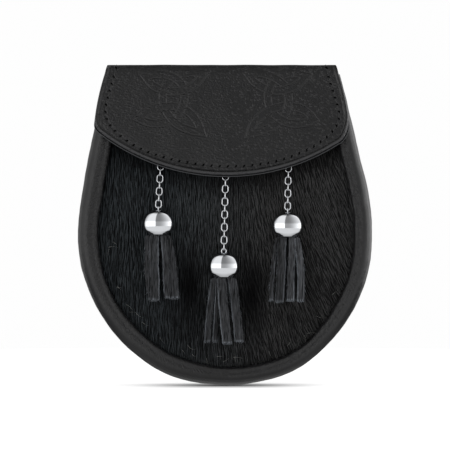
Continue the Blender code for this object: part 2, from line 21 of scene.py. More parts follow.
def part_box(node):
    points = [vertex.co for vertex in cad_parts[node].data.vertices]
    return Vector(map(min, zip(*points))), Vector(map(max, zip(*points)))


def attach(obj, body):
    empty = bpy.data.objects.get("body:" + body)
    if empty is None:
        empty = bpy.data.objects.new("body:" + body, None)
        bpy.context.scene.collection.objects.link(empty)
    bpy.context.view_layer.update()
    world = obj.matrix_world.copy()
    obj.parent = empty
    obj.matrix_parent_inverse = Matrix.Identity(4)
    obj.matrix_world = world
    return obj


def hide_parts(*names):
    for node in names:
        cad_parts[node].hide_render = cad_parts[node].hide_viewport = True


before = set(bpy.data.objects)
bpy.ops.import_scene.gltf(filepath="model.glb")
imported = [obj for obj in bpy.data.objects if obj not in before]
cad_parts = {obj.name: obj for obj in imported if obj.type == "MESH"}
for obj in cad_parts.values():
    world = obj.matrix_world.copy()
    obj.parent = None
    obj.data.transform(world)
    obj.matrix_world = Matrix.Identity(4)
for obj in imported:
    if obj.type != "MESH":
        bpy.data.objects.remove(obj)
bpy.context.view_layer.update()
MM = 0.001
back_low, back_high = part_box("back_panel")
REAR = -back_high.y
FLOOR = min(back_low.z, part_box("gusset")[0].z)
print("the flat back lies", round(REAR / MM, 2), "mm in front of the belt line, the lowest point at",
      round(FLOOR / MM, 1), "mm")

# %% [markdown]
# ## Points, lines and pieces
#
# Most pieces are sheets, strands or turned shapes. A modifier could make some of them, but arrays of
# points keep every millimetre in our hands and make a dense mesh in a fraction of a second. So each
# piece is a list of parts, and a part is its points and its faces. Hand work is never quite even, which
# smooth noise gives.


# %% Places and directions
def place(x, height, depth):
    """World points at places on the pouch."""
    return np.stack(np.broadcast_arrays(x, -(depth + REAR), height + FLOOR), -1)


def mix(start, end, share):
    return start + (end - start) * share


def smoothstep(low, high, value):
    """0 below low, 1 above high, and a smooth climb between."""
    share = np.clip((value - low) / (high - low), 0, 1)
    return share * share * (3 - 2 * share)


def unit(vectors):
    return vectors / np.maximum(np.linalg.norm(vectors, axis=-1, keepdims=True), 1e-12)


def leftward(ways):
    """Flat directions turned a quarter to the left."""
    return np.stack([-ways[..., 1], ways[..., 0]], -1)


def hanging(angles):
    """Flat directions that swing to the right from straight down by these angles."""
    return np.stack([np.sin(angles), -np.cos(angles)], -1)


def round_turns(count):
    """Angles all round a circle."""
    return np.arange(count) * math.tau / count


# %% Lines of points
def distances_along(line):
    return np.concatenate([[0], np.cumsum(np.linalg.norm(np.diff(line, axis=0), axis=1))])


def points_at(line, stops):
    """Points at these distances along a line."""
    along = distances_along(line)
    return np.stack([np.interp(stops, along, column) for column in line.T], -1)


def resampled(line, step):
    """The same open line with a point about every step."""
    length = distances_along(line)[-1]
    return points_at(line, np.linspace(0, length, max(2, round(length / step) + 1)))


def softened(line, step, width):
    """A line of points with its corners rounded off over about this width."""
    line = resampled(np.asarray(line, float), step)
    reach = max(1, round(width / step / 2))
    kernel = np.ones(2 * reach + 1) / (2 * reach + 1)
    for _ in range(2):
        padded = np.vstack([2 * line[0] - line[reach:0:-1], line, 2 * line[-1] - line[-2:-reach - 2:-1]])
        line = np.stack([np.convolve(column, kernel, "valid") for column in padded.T], -1)
    return line


def moved_left(line, distance):
    """A closed line of points moved to the left of its direction: inward where it runs anticlockwise."""
    arriving = unit(line - np.roll(line, 1, 0))
    leaving = unit(np.roll(line, -1, 0) - line)
    along = unit(arriving + leaving)
    stretch = np.sqrt((1 + (arriving * leaving).sum(1)) / 2)
    return line + leftward(along) * (distance / stretch)[:, None]


# %% Unevenness
def uneven(points, size, seed):
    """Smooth noise between about -1 and 1 at each point, whose bumps are about this size."""
    points = np.asarray(points, float)
    flat = points.reshape(-1, points.shape[-1]) / size
    if flat.shape[1] == 2:
        flat = np.column_stack([flat, np.zeros(len(flat))])
    flat = flat + np.array([31.7, 17.3, 11.9]) * (seed + 1)
    return np.array([noise.noise(Vector(p)) for p in flat]).reshape(points.shape[:-1]) * 1.6


# %% Grids of faces
def grid_faces(rows, columns, loop_rows=False, loop_columns=False):
    """Corner numbers of the quads of a grid whose points are numbered row by row."""
    row = np.arange(rows if loop_rows else rows - 1)[:, None]
    column = np.arange(columns if loop_columns else columns - 1)[None]
    next_row, next_column = (row + 1) % rows, (column + 1) % columns
    corners = [row * columns + column, row * columns + next_column]
    corners += [next_row * columns + next_column, next_row * columns + column]
    return np.stack(np.broadcast_arrays(*corners), -1).reshape(-1, 4)


def tube_faces(rows, around):
    """The faces of a closed tube whose first and last rings are filled."""
    first = np.arange(around)[None]
    return [grid_faces(rows, around, loop_columns=True), first, first + (rows - 1) * around]


# %% Pieces
def make_piece(name, parts, finish, replaces=(), values=None, sharp=None):
    """A piece of the pouch from its parts. values holds a number for each point, by name."""
    starts = np.cumsum([0] + [len(points) for points, _ in parts])
    points = np.vstack([points for points, _ in parts])
    faces = []
    for (_, groups), start in zip(parts, starts):
        for corners in groups:
            faces += (corners + start).tolist()
    mesh = bpy.data.meshes.new(name)
    mesh.from_pydata(points.tolist(), [], faces, shade_flat=False)
    mesh.validate()
    for value_name, numbers in (values or {}).items():
        attribute = mesh.attributes.new(value_name, "FLOAT", "POINT")
        attribute.data.foreach_set("value", np.asarray(numbers, np.float32))
    if sharp:
        mesh.set_sharp_from_angle(angle=math.radians(sharp))
    mesh.materials.append(finish)
    piece = bpy.data.objects.new(name, mesh)
    bpy.context.scene.collection.objects.link(piece)
    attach(piece, "root")
    if replaces:
        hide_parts(*replaces)
    triangles = sum(len(corners) - 2 for corners in faces)
    size = [round(v / MM, 1) for v in points.max(0) - points.min(0)]
    print(f"{name}: {triangles} triangles, {size} mm")
    return piece


def leather_coordinates(piece, along, around):
    """A UV map in metres, from the distance along the piece and round it at each point."""
    mesh = piece.data
    layer = mesh.uv_layers.new(name="leather")
    corners = np.empty(len(mesh.loops), np.int32)
    mesh.loops.foreach_get("vertex_index", corners)
    flat = np.stack([np.ravel(along), np.ravel(around)], -1)
    layer.data.foreach_set("uv", flat[corners].astype(np.float32).ravel())


# %% [markdown]
# ## Colours and nodes
#
# A colour that we pick on a screen is an sRGB value, but the renderer counts light, so one
# function turns hex codes into linear numbers. A second small function adds a shader node with its
# settings and its links in one line, which keeps each material readable from top to bottom.


# %% Colours and nodes
def linear(code):
    """Linear red, green, blue and alpha of an sRGB hex colour."""
    parts = [int(code[k:k + 2], 16) / 255 for k in (1, 3, 5)]
    return [p / 12.92 if p <= 0.04045 else ((p + 0.055) / 1.055) ** 2.4 for p in parts] + [1.0]


def set_inputs(node, inputs):
    """Gives each input its value, or a link where the value is another node's output."""
    for name, value in inputs.items():
        if isinstance(value, bpy.types.NodeSocket):
            node.id_data.links.new(value, node.inputs[name])
        else:
            node.inputs[name].default_value = value


def add_node(tree, kind, inputs, out=0, **settings):
    """Adds a node with its settings and inputs, and hands on the output that is used."""
    node = tree.nodes.new("ShaderNode" + kind)
    for name, value in settings.items():
        setattr(node, name, value)
    set_inputs(node, inputs)
    return node.outputs[out]


def new_material(name, **sockets):
    """A material, its node tree and its shader, with these values on the shader's own sockets."""
    material = bpy.data.materials.new(name)
    material.use_nodes = True
    shader = material.node_tree.nodes["Principled BSDF"]
    set_inputs(shader, {socket.replace("_", " "): value for socket, value in sockets.items()})
    print("finish:", name)
    return material, material.node_tree, shader


# %% [markdown]
# ## Black leather of the wall and the roll
#
# The wall is drum-dyed calf: a smooth black skin with a satin topcoat. Leather has an IOR of about 1.5,
# and the topcoat is dull, so its highlights are wide. Where the wall turns over into the roll it is
# crushed, and fine creases run slantwise across it, under a millimetre wide and two or three long. They
# could be cut into the mesh, but so shallow a relief only shows in how it catches light, so a bump does
# it: a noise that is stretched along the slant, with fine pores over it. Its depth is drawn larger than
# the real one, which would be lost at this size. The creases are a little lighter and darker too, where
# the dye took unevenly.

# %% Calf leather, drum-dyed, satin topcoat
CREASE, CREASE_LONG = 0.8 * MM, 2.4 * MM
CREASE_SLANT = math.radians(45)
SMOOTH_TO, CREASED_FROM = 33.5 * MM, 37.0 * MM  # from the wall's rear edge, round its section
PORE = 0.8 * MM
calf, tree, shader = new_material("calf leather, drum-dyed black, satin", Roughness=0.36,
                                  Specular_IOR_Level=0.4)
metres = add_node(tree, "UVMap", {}, "UV", uv_map="leather")
slanted = add_node(tree, "Mapping", {"Vector": metres, "Rotation": (0, 0, CREASE_SLANT),
                                     "Scale": (CREASE_LONG, CREASE, 1)}, vector_type="TEXTURE")
creases = add_node(tree, "TexNoise", {"Vector": slanted, "Scale": 1.0, "Detail": 1.5},
                   noise_dimensions="2D")
pores = add_node(tree, "TexNoise", {"Vector": metres, "Scale": 1 / PORE}, noise_dimensions="2D")
round_the_wall = add_node(tree, "SeparateXYZ", {0: metres}, "Y")
crushed = add_node(tree, "MapRange", {"Value": round_the_wall, "From Min": SMOOTH_TO,
                                      "From Max": CREASED_FROM, "To Min": 0.25},
                   interpolation_type="SMOOTHSTEP")
crease_height = add_node(tree, "Math", {0: creases, 1: crushed}, operation="MULTIPLY")
crease_bump = add_node(tree, "Bump", {"Height": crease_height, "Distance": 0.7 * MM})
pore_bump = add_node(tree, "Bump", {"Height": pores, "Distance": 0.12 * MM, "Normal": crease_bump})
dye = add_node(tree, "MapRange", {"Value": creases, "From Min": 0.3, "From Max": 0.7,
                                  "To Min": 0.85, "To Max": 1.15})
calf_colour = add_node(tree, "VectorMath", {0: linear("#121213")[:3], "Scale": dye}, operation="SCALE")
set_inputs(shader, {"Base Color": calf_colour, "Normal": pore_bump})

# %% [markdown]
# ## The outline and the wall
#
# The outline is half an ellipse below and two nearly straight sides above. The real one was filled and
# sewn by hand, so it is a little fuller here and there, and the roll isn't equally wide all round. Both
# are short tables. The wall could be a swept curve with a bevel object, but its section changes with
# height, so every section is worked out point by point: a short row of (inset, depth) pairs, softened,
# and carried along the outline. It is closer meshed where it is round, and it has the long dents of
# leather over a soft filling.

# %% Measures of the outline
HALF_WIDTH = 94.15 * MM
WIDEST_HEIGHT = 95.7 * MM
SIDE_SLOPE = 0.198
SIDE_ANGLE = math.atan(SIDE_SLOPE * WIDEST_HEIGHT / HALF_WIDTH)
POUCH_TOP = 199.4 * MM
LEAN = -0.0115
RIGHT_SWELL = 1.2 * MM
FULLNESS = {  # on the left and on the right: mm outward, mm up to its middle, mm of spread
    -1: ((0.95, 145.0, 28.0), (0.8, 24.0, 12.0), (11.0, 0.0, 12.0)),
    1: ((1.6, 124.0, 19.0), (0.6, 60.0, 60.0), (11.0, 0.0, 15.0)),
}
ROLL_SHARES = {  # how wide the roll is beside its section, on the left and on the right
    -1: (0.94, 1.09, 1.09, 1.07, 1.08),
    1: (0.94, 0.92, 0.87, 0.97, 0.96),
}
ROLL_STOP = 20  # degrees from share to share, up from the bottom
BACK_THICKNESS = 2.5 * MM
BACK_TOP = 198.4 * MM
GAP = 0.3 * MM
GUSSET_REAR = BACK_THICKNESS + GAP
TOP_TAPER = 0.17


# %% The outline and the depths
def pouch_edge(way, top, steps):
    """Points and outward directions up one side of the pouch: the right side at way 1, the left at -1."""
    round_steps, side_steps = steps
    angle = np.linspace(-math.pi / 2, SIDE_ANGLE, round_steps + 1)
    across, up = np.cos(angle), np.sin(angle)
    points = np.stack([way * HALF_WIDTH * across, WIDEST_HEIGHT * (1 + up)], -1)
    outward = unit(np.stack([way * across / HALF_WIDTH, up / WIDEST_HEIGHT], -1))
    share = np.arange(1, side_steps + 1) / side_steps
    height = mix(points[-1, 1], top, share)
    swell = RIGHT_SWELL * 4 * share * (1 - share) * (way == 1)
    reach = abs(points[-1, 0]) - SIDE_SLOPE * (height - points[-1, 1]) + swell
    straight_out = np.tile([way * math.hypot(1, SIDE_SLOPE), 0], (side_steps, 1))
    points = np.vstack([points, np.stack([way * reach, height], -1)])
    for out, up, spread in FULLNESS[way]:
        points[:, 0] *= 1 + out * MM / HALF_WIDTH * np.exp(-(((points[:, 1] / MM - up) / spread) ** 2))
    return points, np.vstack([outward, straight_out])


def pouch_outline(inset, top, steps=(150, 80)):
    """(x, height) points of the pouch's edge moved in, from the top left round to the top right."""
    left, left_out = pouch_edge(-1, top, steps)
    right, right_out = pouch_edge(1, top, steps)
    points, outward = np.vstack([left[:0:-1], right]), np.vstack([left_out[:0:-1], right_out])
    stop = np.degrees(np.arctan2(np.abs(outward[:, 0]), -outward[:, 1])) / ROLL_STOP
    shares = [np.array(ROLL_SHARES[way]) for way in (-1, 1)]
    stop = np.clip(stop, 0, len(shares[0]) - 1.001)
    step = stop.astype(int)
    rest = smoothstep(0, 1, stop - step)
    share = np.where(outward[:, 0] < 0, *[mix(side[step], side[step + 1], rest) for side in shares])
    points = points - outward * (inset * share)[:, None]
    points[:, 0] += LEAN * (points[:, 1] - WIDEST_HEIGHT)
    return points


def roll_depth(height, depth):
    """A depth of the wall's section at this height: the pouch grows thinner towards the top."""
    taper = 1 - TOP_TAPER * np.clip((height - WIDEST_HEIGHT) / (POUCH_TOP - WIDEST_HEIGHT), 0, None)
    return GUSSET_REAR + (depth - GUSSET_REAR) * taper


print("the pouch is", round(np.ptp(pouch_outline(0.0, POUCH_TOP)[:, 0]) / MM, 1), "mm wide")

# %% The wall and its roll
GUSSET_SECTION = (  # mm in from the outline, mm forward
    (0.0, 2.8), (0.0, 14.0), (0.1, 23.0), (0.7, 28.5), (2.0, 32.4), (4.0, 35.0), (6.5, 36.0),
    (8.2, 35.6), (9.2, 34.8), (10.0, 35.3), (10.9, 35.2), (11.9, 34.3), (12.5, 32.6), (12.5, 30.6),
    (10.6, 30.6), (10.3, 32.4), (9.2, 32.8), (6.5, 34.0), (4.8, 33.2), (3.4, 31.2), (2.5, 28.0),
    (2.1, 23.0), (2.0, 14.0), (2.0, 2.8),
)  # fmt: skip
WALL_STEPS = (195, 100)  # round the bottom, and up each side
FLAT_STRIDE, ROUND_STRIDE = 8, 3
ROUND_FROM, ROUND_PAST_MIDDLE = 110, 30
ROLL_MIDDLE = 6 * MM  # in from the outline
DENT, DENT_DEPTH = 14 * MM, 0.22 * MM
WRINKLE, WRINKLE_DEPTH = 4.5 * MM, 0.08 * MM
REAR_FADE, LIP_FADE = (8 * MM, 20 * MM), (20 * MM, 30 * MM)  # where dents and wrinkles fade out, round it


def make_gusset():
    section = softened(np.array(GUSSET_SECTION) * MM, 0.2 * MM, 1.3 * MM)
    around = distances_along(section)
    last, round_to = len(section) - 1, len(section) // 2 + ROUND_PAST_MIDDLE
    kept = np.concatenate([np.arange(0, ROUND_FROM, FLAT_STRIDE),
                           np.arange(ROUND_FROM, round_to, ROUND_STRIDE),
                           np.arange(round_to, last + 1, FLAT_STRIDE), [last]])
    section, around = section[kept], around[kept]
    lines = []
    for inset, depth in section:
        outline = pouch_outline(inset, POUCH_TOP, WALL_STEPS)
        lines.append(place(outline[:, 0], outline[:, 1], roll_depth(outline[:, 1], depth)))
    points = np.stack(lines, 1)
    along = distances_along(pouch_outline(ROLL_MIDDLE, POUCH_TOP, WALL_STEPS))
    slope_along, slope_around = np.gradient(points, axis=0), np.gradient(points, axis=1)
    normals = unit(np.cross(slope_around, slope_along))
    flat = np.stack(np.broadcast_arrays(along[:, None], around[None]), -1)
    free = smoothstep(*REAR_FADE, around) * smoothstep(*LIP_FADE, around[-1] - around)
    relief = uneven(flat, DENT, 1) * DENT_DEPTH + uneven(flat * [1, 0.5], WRINKLE, 2) * WRINKLE_DEPTH
    points = points + normals * (relief * free)[..., None]
    part = (points.reshape(-1, 3), tube_faces(len(points), len(section)))
    piece = make_piece("wall_and_roll", [part], calf, ["gusset"])
    leather_coordinates(piece, np.abs(flat[..., 0] - along[-1] / 2), flat[..., 1])


make_gusset()

# %% [markdown]
# ## The flat back
#
# One piece of the same leather closes the back. A grid would leave steps along its round edge. So it is
# a sheet as a maker cuts it: an outline, two faces filled with triangles, and a rounded cut edge. One
# more ring of points just inside the edge keeps the long triangles there from shading in zigzags. Its
# stitches come later, with the thread.


# %% Filling an outline with triangles
def inside(points, edge):
    """Whether each point lies inside a closed edge, by counting the edges to its left."""
    x, y = points.T
    crossed = np.zeros(len(points), int)
    for (x1, y1), (x2, y2) in zip(edge, np.roll(edge, -1, 0)):
        if y1 != y2:
            crossed += ((y1 > y) != (y2 > y)) & (x > (x2 - x1) * (y - y1) / (y2 - y1) + x1)
    return crossed % 2 == 1


def lattice(edge, spacing):
    """Spots in rows that are offset by half a step, clear of the closed edge that they fill."""
    low, high = edge.min(0), edge.max(0)
    rows = np.arange(low[1], high[1], spacing * math.sqrt(3) / 2)
    columns = np.arange(low[0], high[0], spacing)
    x, y = np.meshgrid(columns, rows)
    x = x + np.where(np.arange(len(rows)) % 2, spacing / 2, 0)[:, None]
    spots = np.stack([x.ravel(), y.ravel()], -1)
    return spots[inside(spots, moved_left(edge, spacing * 0.6))]


def filled(edge, spots):
    """Triangles that fill a closed edge, with the spots inside it as further corners (Delaunay)."""
    border = [(k, (k + 1) % len(edge)) for k in range(len(edge))]
    points = [Vector(p) for p in np.vstack([edge, spots]).tolist()]
    _, _, faces, from_point, _, _ = geometry.delaunay_2d_cdt(points, border, [], 1, 1e-8)
    return np.array([[from_point[corner][0] for corner in face] for face in faces])


# %% A sheet with a cut edge
def cut_edge(thickness, rounding, inset=0.0):
    """(inset, out) of each loop round a cut leather edge, from its outer face round to its inner one."""
    turn = np.radians([90, 68, 45, 22, 0])
    upper = [(inset + rounding * (1 - math.cos(a)), thickness - rounding * (1 - math.sin(a))) for a in turn]
    return upper + [(near, thickness - out) for near, out in upper[::-1]]


def sheet(outline, rim, spots, back_spots, mapped, relief=None):
    """A closed sheet of leather: triangles fill its two faces, and loops of quads run round its edge."""
    loops = [moved_left(outline, inset) for inset, _ in rim]
    count, last = len(outline), len(rim) - 1
    flat = [np.vstack([loops[0], spots])] + loops[1:last] + [np.vstack([loops[last], back_spots])]
    out = [np.full(len(part), rim[number][1]) for number, part in enumerate(flat)]
    if relief is not None:
        out[0] = out[0] + relief(flat[0])
    points = np.vstack([mapped(part, height) for part, height in zip(flat, out)])
    starts = np.cumsum([0] + [len(part) for part in flat])
    here = np.arange(count)
    there = (here + 1) % count
    faces = [filled(loops[0], spots), filled(loops[last], back_spots)[:, ::-1] + starts[last]]
    for start, after in zip(starts, starts[1:-1]):
        faces.append(np.stack([start + here, start + there, after + there, after + here], -1))
    return points, faces


# %% The back panel
BACK_SPOTS = 6 * MM
BACK_RING = 1.4 * MM


def flat_coordinates(piece):
    """A UV map in metres, seen from the front."""
    points = np.empty(len(piece.data.vertices) * 3, np.float32)
    piece.data.vertices.foreach_get("co", points)
    leather_coordinates(piece, points[0::3], points[2::3])


def make_back():
    outline = pouch_outline(0.0, BACK_TOP, (110, 60))
    rim = cut_edge(BACK_THICKNESS, 0.7 * MM)
    spots = np.vstack([lattice(outline, BACK_SPOTS), moved_left(outline, BACK_RING)])
    part = sheet(outline, rim, spots, spots, lambda p, out: place(p[:, 0], p[:, 1], out))
    piece = make_piece("back_leather", [part], calf, ["back_panel"])
    flat_coordinates(piece)


make_back()

# %% [markdown]
# ## Fur
#
# The front is a hide with short black hair, combed down. Hair curves would be the usual way, but only a
# mesh is kept whole by every program, so each hair is a narrow ribbon of five triangles that rises from
# its root, bends over and lies down along the hide. Each has its own length, width, tone and lean. Black
# hair is never quite black: it is a dark grey with a dull sheen, and its tone differs from lock to lock.
# On the left it is painted a little colder, a painted tint of colder light from that side.

# %% Dyed hair, combed, dull sheen
hair, tree, shader = new_material("black dyed hair, combed", Roughness=0.42, Specular_IOR_Level=0.06)
tone = add_node(tree, "Attribute", {}, "Fac", attribute_name="tone")
# painted light: the hair's colour is painted a little colder on the left, as if a colder light fell from
# that side
place_across = add_node(tree, "SeparateXYZ", {0: add_node(tree, "TexCoord", {}, "Object")}, "X")
cold_light_fades_right = add_node(tree, "MapRange", {"Value": place_across, "From Min": -40 * MM, "From Max": 30 * MM})
lit_hair = add_node(tree, "Mix", {0: cold_light_fades_right, 6: linear("#3a3f42"), 7: linear("#3f3f3f")}, 2,
                    data_type="RGBA")
hair_colour = add_node(tree, "Mix", {0: tone, 6: linear("#040405"), 7: lit_hair}, 2, data_type="RGBA")
set_inputs(shader, {"Base Color": hair_colour})
hide, *_ = new_material("hide under the hair, black", Roughness=0.9, Specular_IOR_Level=0.1,
                        Base_Color=linear("#0a0a0a"))

# %% The hide
FUR_INSET = 11 * MM
FUR_TOP = 190 * MM
FUR_EDGE_DEPTH = 28 * MM
FUR_RISE = 1.8 * MM
FUR_THICKNESS = 2.5 * MM
FUR_MIDDLE = np.array([0.8, 104.0]) * MM
fur_edge = pouch_outline(FUR_INSET, FUR_TOP)
fur_reach = fur_edge[:, 0].max()


def fur_depth(x, height):
    """Depth of the hide's front face."""
    across = (x - FUR_MIDDLE[0]) / fur_reach
    along = (height - FUR_MIDDLE[1]) / (FUR_TOP - FUR_MIDDLE[1])
    return roll_depth(height, FUR_EDGE_DEPTH + FUR_RISE * np.clip(1 - across**2 - along**2, 0, None))


def on_hide(points, out):
    x, height = points.T
    return place(x, height, fur_depth(x, height) - FUR_THICKNESS + out)


spots = lattice(fur_edge, 5 * MM)
hide_part = sheet(fur_edge, cut_edge(FUR_THICKNESS, 0.6 * MM), spots, spots, on_hide)
make_piece("fur_hide", [hide_part], hide, ["fur_panel"])

# %% [markdown]
# ## Hairs and tufts
#
# There are two layers: close hairs that cover the hide, and over them the tufts that a comb leaves. A
# real hair is 0.05 mm thick, too fine to show at this size, so the hairs are drawn as ribbons of 0.15 mm
# and the tufts of 0.4 mm. Rows with some disorder look combed, where wholly random roots would look
# unkempt. The tassels keep the light off the hair beside them, and the flap off the hair just below it.
# So soft a studio hardly throws such shades, so they are painted shade in the hairs' tone, and the
# lighter hair at the upper right is painted light in it too.

# %% How the hair lies
FLAP_LOWEST = 133.1 * MM
FLAP_ARC_RADIUS = 133 * MM
FLAP_ARC_X = 1.3 * MM
HAIR_LENGTH = (6 * MM, 10 * MM)
HAIR_WIDTH = (0.12 * MM, 0.17 * MM)
HAIR_PITCH = (0.52 * MM, 0.97 * MM)  # across and down between roots
TUFT_WIDTH = (0.30 * MM, 0.50 * MM)  # coarser than real hair, so that single tufts show
TUFT_PITCH = (1.1 * MM, 2.8 * MM)
LOCK, STREAK_IN_FUR, PATCH = 1.4 * MM, 0.9 * MM, 14 * MM  # how far the hair keeps one tone and way
LOCK_TURN, PATCH_TURN, HAIR_TURN = np.radians(4), np.radians(3), 0.06  # how far each turns the hair
HAIR_BEND = 0.10
HIDDEN = 12 * MM  # above the flap's lower edge, where the flap hides the hide and no hair is needed
LIP_INSET, TRIMS, SHORTER = 11.8 * MM, 9, 0.78  # where the lip lies, and how often and by how much to trim
RIBBON_STOPS, RIBBON_WIDTHS = (0.0, 0.3, 0.65, 1.0), (0.8, 1.0, 0.7, 0.0)
# painted shade: the hair just below the flap's edge is darkened, where the flap keeps the light off it
FLAP_SHADE, SHADED_TONE = (-2 * MM, 14 * MM), 0.35  # from the flap's edge down, and the tone there
SHADES = (  # x and height of the middle, reach across and down, all mm, and how much light is kept off
    (-22, 67, 10, 28, 0.97), (17, 62, 9, 27, 0.97), (54, 64, 5, 20, 0.35), (-34, 40, 12, 8, 0.2),
)  # fmt: skip


def flap_edge_height(x):
    """Height of the flap's lower edge."""
    return FLAP_LOWEST + FLAP_ARC_RADIUS - np.sqrt(FLAP_ARC_RADIUS**2 - (x - FLAP_ARC_X) ** 2)


def lean(x, height):
    """How far the hair leans to the right of straight down, in radians: most at the lower right."""
    return np.radians(15 + 20 * (1 - height / (150 * MM))) * np.clip((x + 5 * MM) / (75 * MM), 0, 1)


def light_on_hair(x, height):
    """1 at the left side, more at the upper right, and less where the tassels keep the light off."""
    upper = np.exp(-(((height - 118 * MM) / (30 * MM)) ** 2))
    light = 1 + smoothstep(-60 * MM, -15 * MM, x) * (0.15 + 0.65 * upper)
    for middle, at, wide, tall, kept in SHADES:
        away = ((x / MM - middle) / wide) ** 2 + ((height / MM - at) / tall) ** 2
        light = light * (1 - kept * np.exp(-away))
    return light


# %% Roots, lengths and ribbons
def combed_roots(chance, edge, pitch):
    """Roots in loose rows and columns, as combed hair lies."""
    low, high = edge.min(0), edge.max(0)
    x, y = np.meshgrid(np.arange(low[0], high[0], pitch[0]), np.arange(low[1], high[1], pitch[1]))
    y = y + chance.uniform(0, pitch[1], x.shape[1])
    spots = np.stack([x.ravel(), y.ravel()], -1)
    spots = spots + chance.uniform(-0.3, 0.3, spots.shape) * pitch
    spots = spots[spots[:, 1] < flap_edge_height(spots[:, 0]) + HIDDEN]
    return spots[inside(spots, edge)]


def trimmed(roots, angle, length):
    """Hair lengths that end under the roll's lip."""
    lip = pouch_outline(LIP_INSET, FUR_TOP + 10 * MM)
    down = hanging(angle)
    for _ in range(TRIMS):
        beyond = ~inside(roots + down * length[:, None], lip)
        length = np.where(beyond, length * SHORTER, length)
    return length


def hair_ribbons(roots, angle, length, width, lift, twist):
    """A ribbon for each hair: four pairs of points, of which the last is its tip."""
    down = hanging(angle)
    bend = leftward(down) * (twist * length * -HAIR_BEND)[:, None]
    paths = []
    for stop in RIBBON_STOPS:
        spot = roots + down * (length * stop)[:, None] + bend * stop**2
        rise = lift * (math.sin(min(1, stop * 1.7) * math.pi / 2) - 0.25 * stop**2)
        paths.append(place(spot[:, 0], spot[:, 1], fur_depth(spot[:, 0], spot[:, 1]) + rise))
    paths = np.stack(paths, 1)
    tangent = unit(np.gradient(paths, axis=1))
    side = unit(np.cross(tangent, (0.0, -1.0, 0.0)))
    face = np.cross(side, tangent)
    across = side * np.cos(twist)[:, None, None] + face * np.sin(twist)[:, None, None]
    half = width[:, None] * np.array(RIBBON_WIDTHS) / 2
    left, right = paths - across * half[..., None], paths + across * half[..., None]
    points = np.concatenate([np.stack([left[:, :3], right[:, :3]], 2).reshape(len(roots), 6, 3),
                             paths[:, 3:]], 1)
    start = np.arange(len(roots))[:, None] * 7
    quads = np.concatenate([start + [0, 1, 3, 2], start + [2, 3, 5, 4]])
    return points.reshape(-1, 3), [quads, start + [4, 5, 6]]


# %% Hairs and tufts
def make_fur(name, seed, pitch, widths, lifts, tones):
    """tones: the tone of most hairs, how much locks differ, and how much single hairs differ."""
    chance = np.random.default_rng(seed)
    spots = combed_roots(chance, moved_left(pouch_outline(12 * MM, FUR_TOP), 0.5 * MM), pitch)
    count = len(spots)
    lock = uneven(spots * [1, 0.25], LOCK, 3)
    streak = uneven(spots * [1, 0.12], STREAK_IN_FUR, seed)
    patch = uneven(spots, PATCH, 4)
    angle = lean(*spots.T) + LOCK_TURN * lock + PATCH_TURN * patch + chance.normal(0, HAIR_TURN, count)
    length = trimmed(spots, angle, chance.uniform(*HAIR_LENGTH, count))
    width = chance.uniform(*widths, count)
    lift = chance.uniform(*lifts, count) * (1 + 0.2 * lock + 0.15 * streak)
    twist = chance.uniform(-0.7, 0.7, count)
    part = hair_ribbons(spots, angle, length, width, lift, twist)
    most, by_lock, by_hair = tones
    tone = most + by_lock * (0.4 * lock + 0.4 * streak + 0.2 * patch)
    tone = tone + by_hair * chance.uniform(-1, 1, count)
    # painted shade below the flap, and the painted light and shade of light_on_hair, go into each hair's
    # tone
    shade = smoothstep(*FLAP_SHADE, flap_edge_height(spots[:, 0]) - spots[:, 1])
    tone = np.clip(tone, 0.03, 1) * mix(SHADED_TONE, 1.0, shade) * light_on_hair(*spots.T)
    return make_piece(name, [part], hair, values={"tone": np.repeat(tone, 7)})


make_fur("fur_under", 11, HAIR_PITCH, HAIR_WIDTH, (0.4 * MM, 1.0 * MM), (0.11, 0.06, 0.10))
make_fur("fur_top", 12, TUFT_PITCH, TUFT_WIDTH, (0.9 * MM, 1.8 * MM), (0.68, 0.18, 0.42))

# %% [markdown]
# ## Stray hairs
#
# A few undyed hairs have come loose and lie across the fur near its lower edge. A ribbon would vanish
# where it is seen edge on, so each is a thin round strand on a wavering path.


# %% Round strands
def many_grids(count, rows, columns, loop_columns=False):
    """The faces of many grids of one size whose points follow each other."""
    faces = grid_faces(rows, columns, loop_columns=loop_columns)
    return (faces[None] + (np.arange(count) * rows * columns)[:, None, None]).reshape(-1, 4)


def strands(paths, radius, sides, up=(0.0, -1.0, 0.0)):
    """Round strands along many paths of as many points each. radius may differ from point to point."""
    tangent = unit(np.gradient(paths, axis=1))
    across = unit(np.cross(tangent, up))
    over = np.cross(across, tangent)
    turn = round_turns(sides)
    ring = across[:, :, None] * np.cos(turn)[:, None] + over[:, :, None] * np.sin(turn)[:, None]
    radius = np.broadcast_to(radius, paths.shape[:2])
    points = paths[:, :, None] + ring * radius[..., None, None]
    count, rows = paths.shape[:2]
    faces = [many_grids(count, rows, sides, loop_columns=True)]
    first = (np.arange(count) * rows * sides)[:, None] + np.arange(sides)
    faces += [first, (first + (rows - 1) * sides)[:, ::-1]]
    return points.reshape(-1, 3), faces


# %% Stray hairs
stray_hair, *_ = new_material("undyed grey hair, fine", Roughness=0.4, Base_Color=linear("#8a8a86"))
STRAYS = 24
STRAY_RADIUS = 0.05 * MM
STRAY_LENGTH = (3 * MM, 7 * MM)
STRAY_RISE = (1.8 * MM, 3.0 * MM)  # off the hide, at the ends and in the middle
STRAY_INSET = 15 * MM


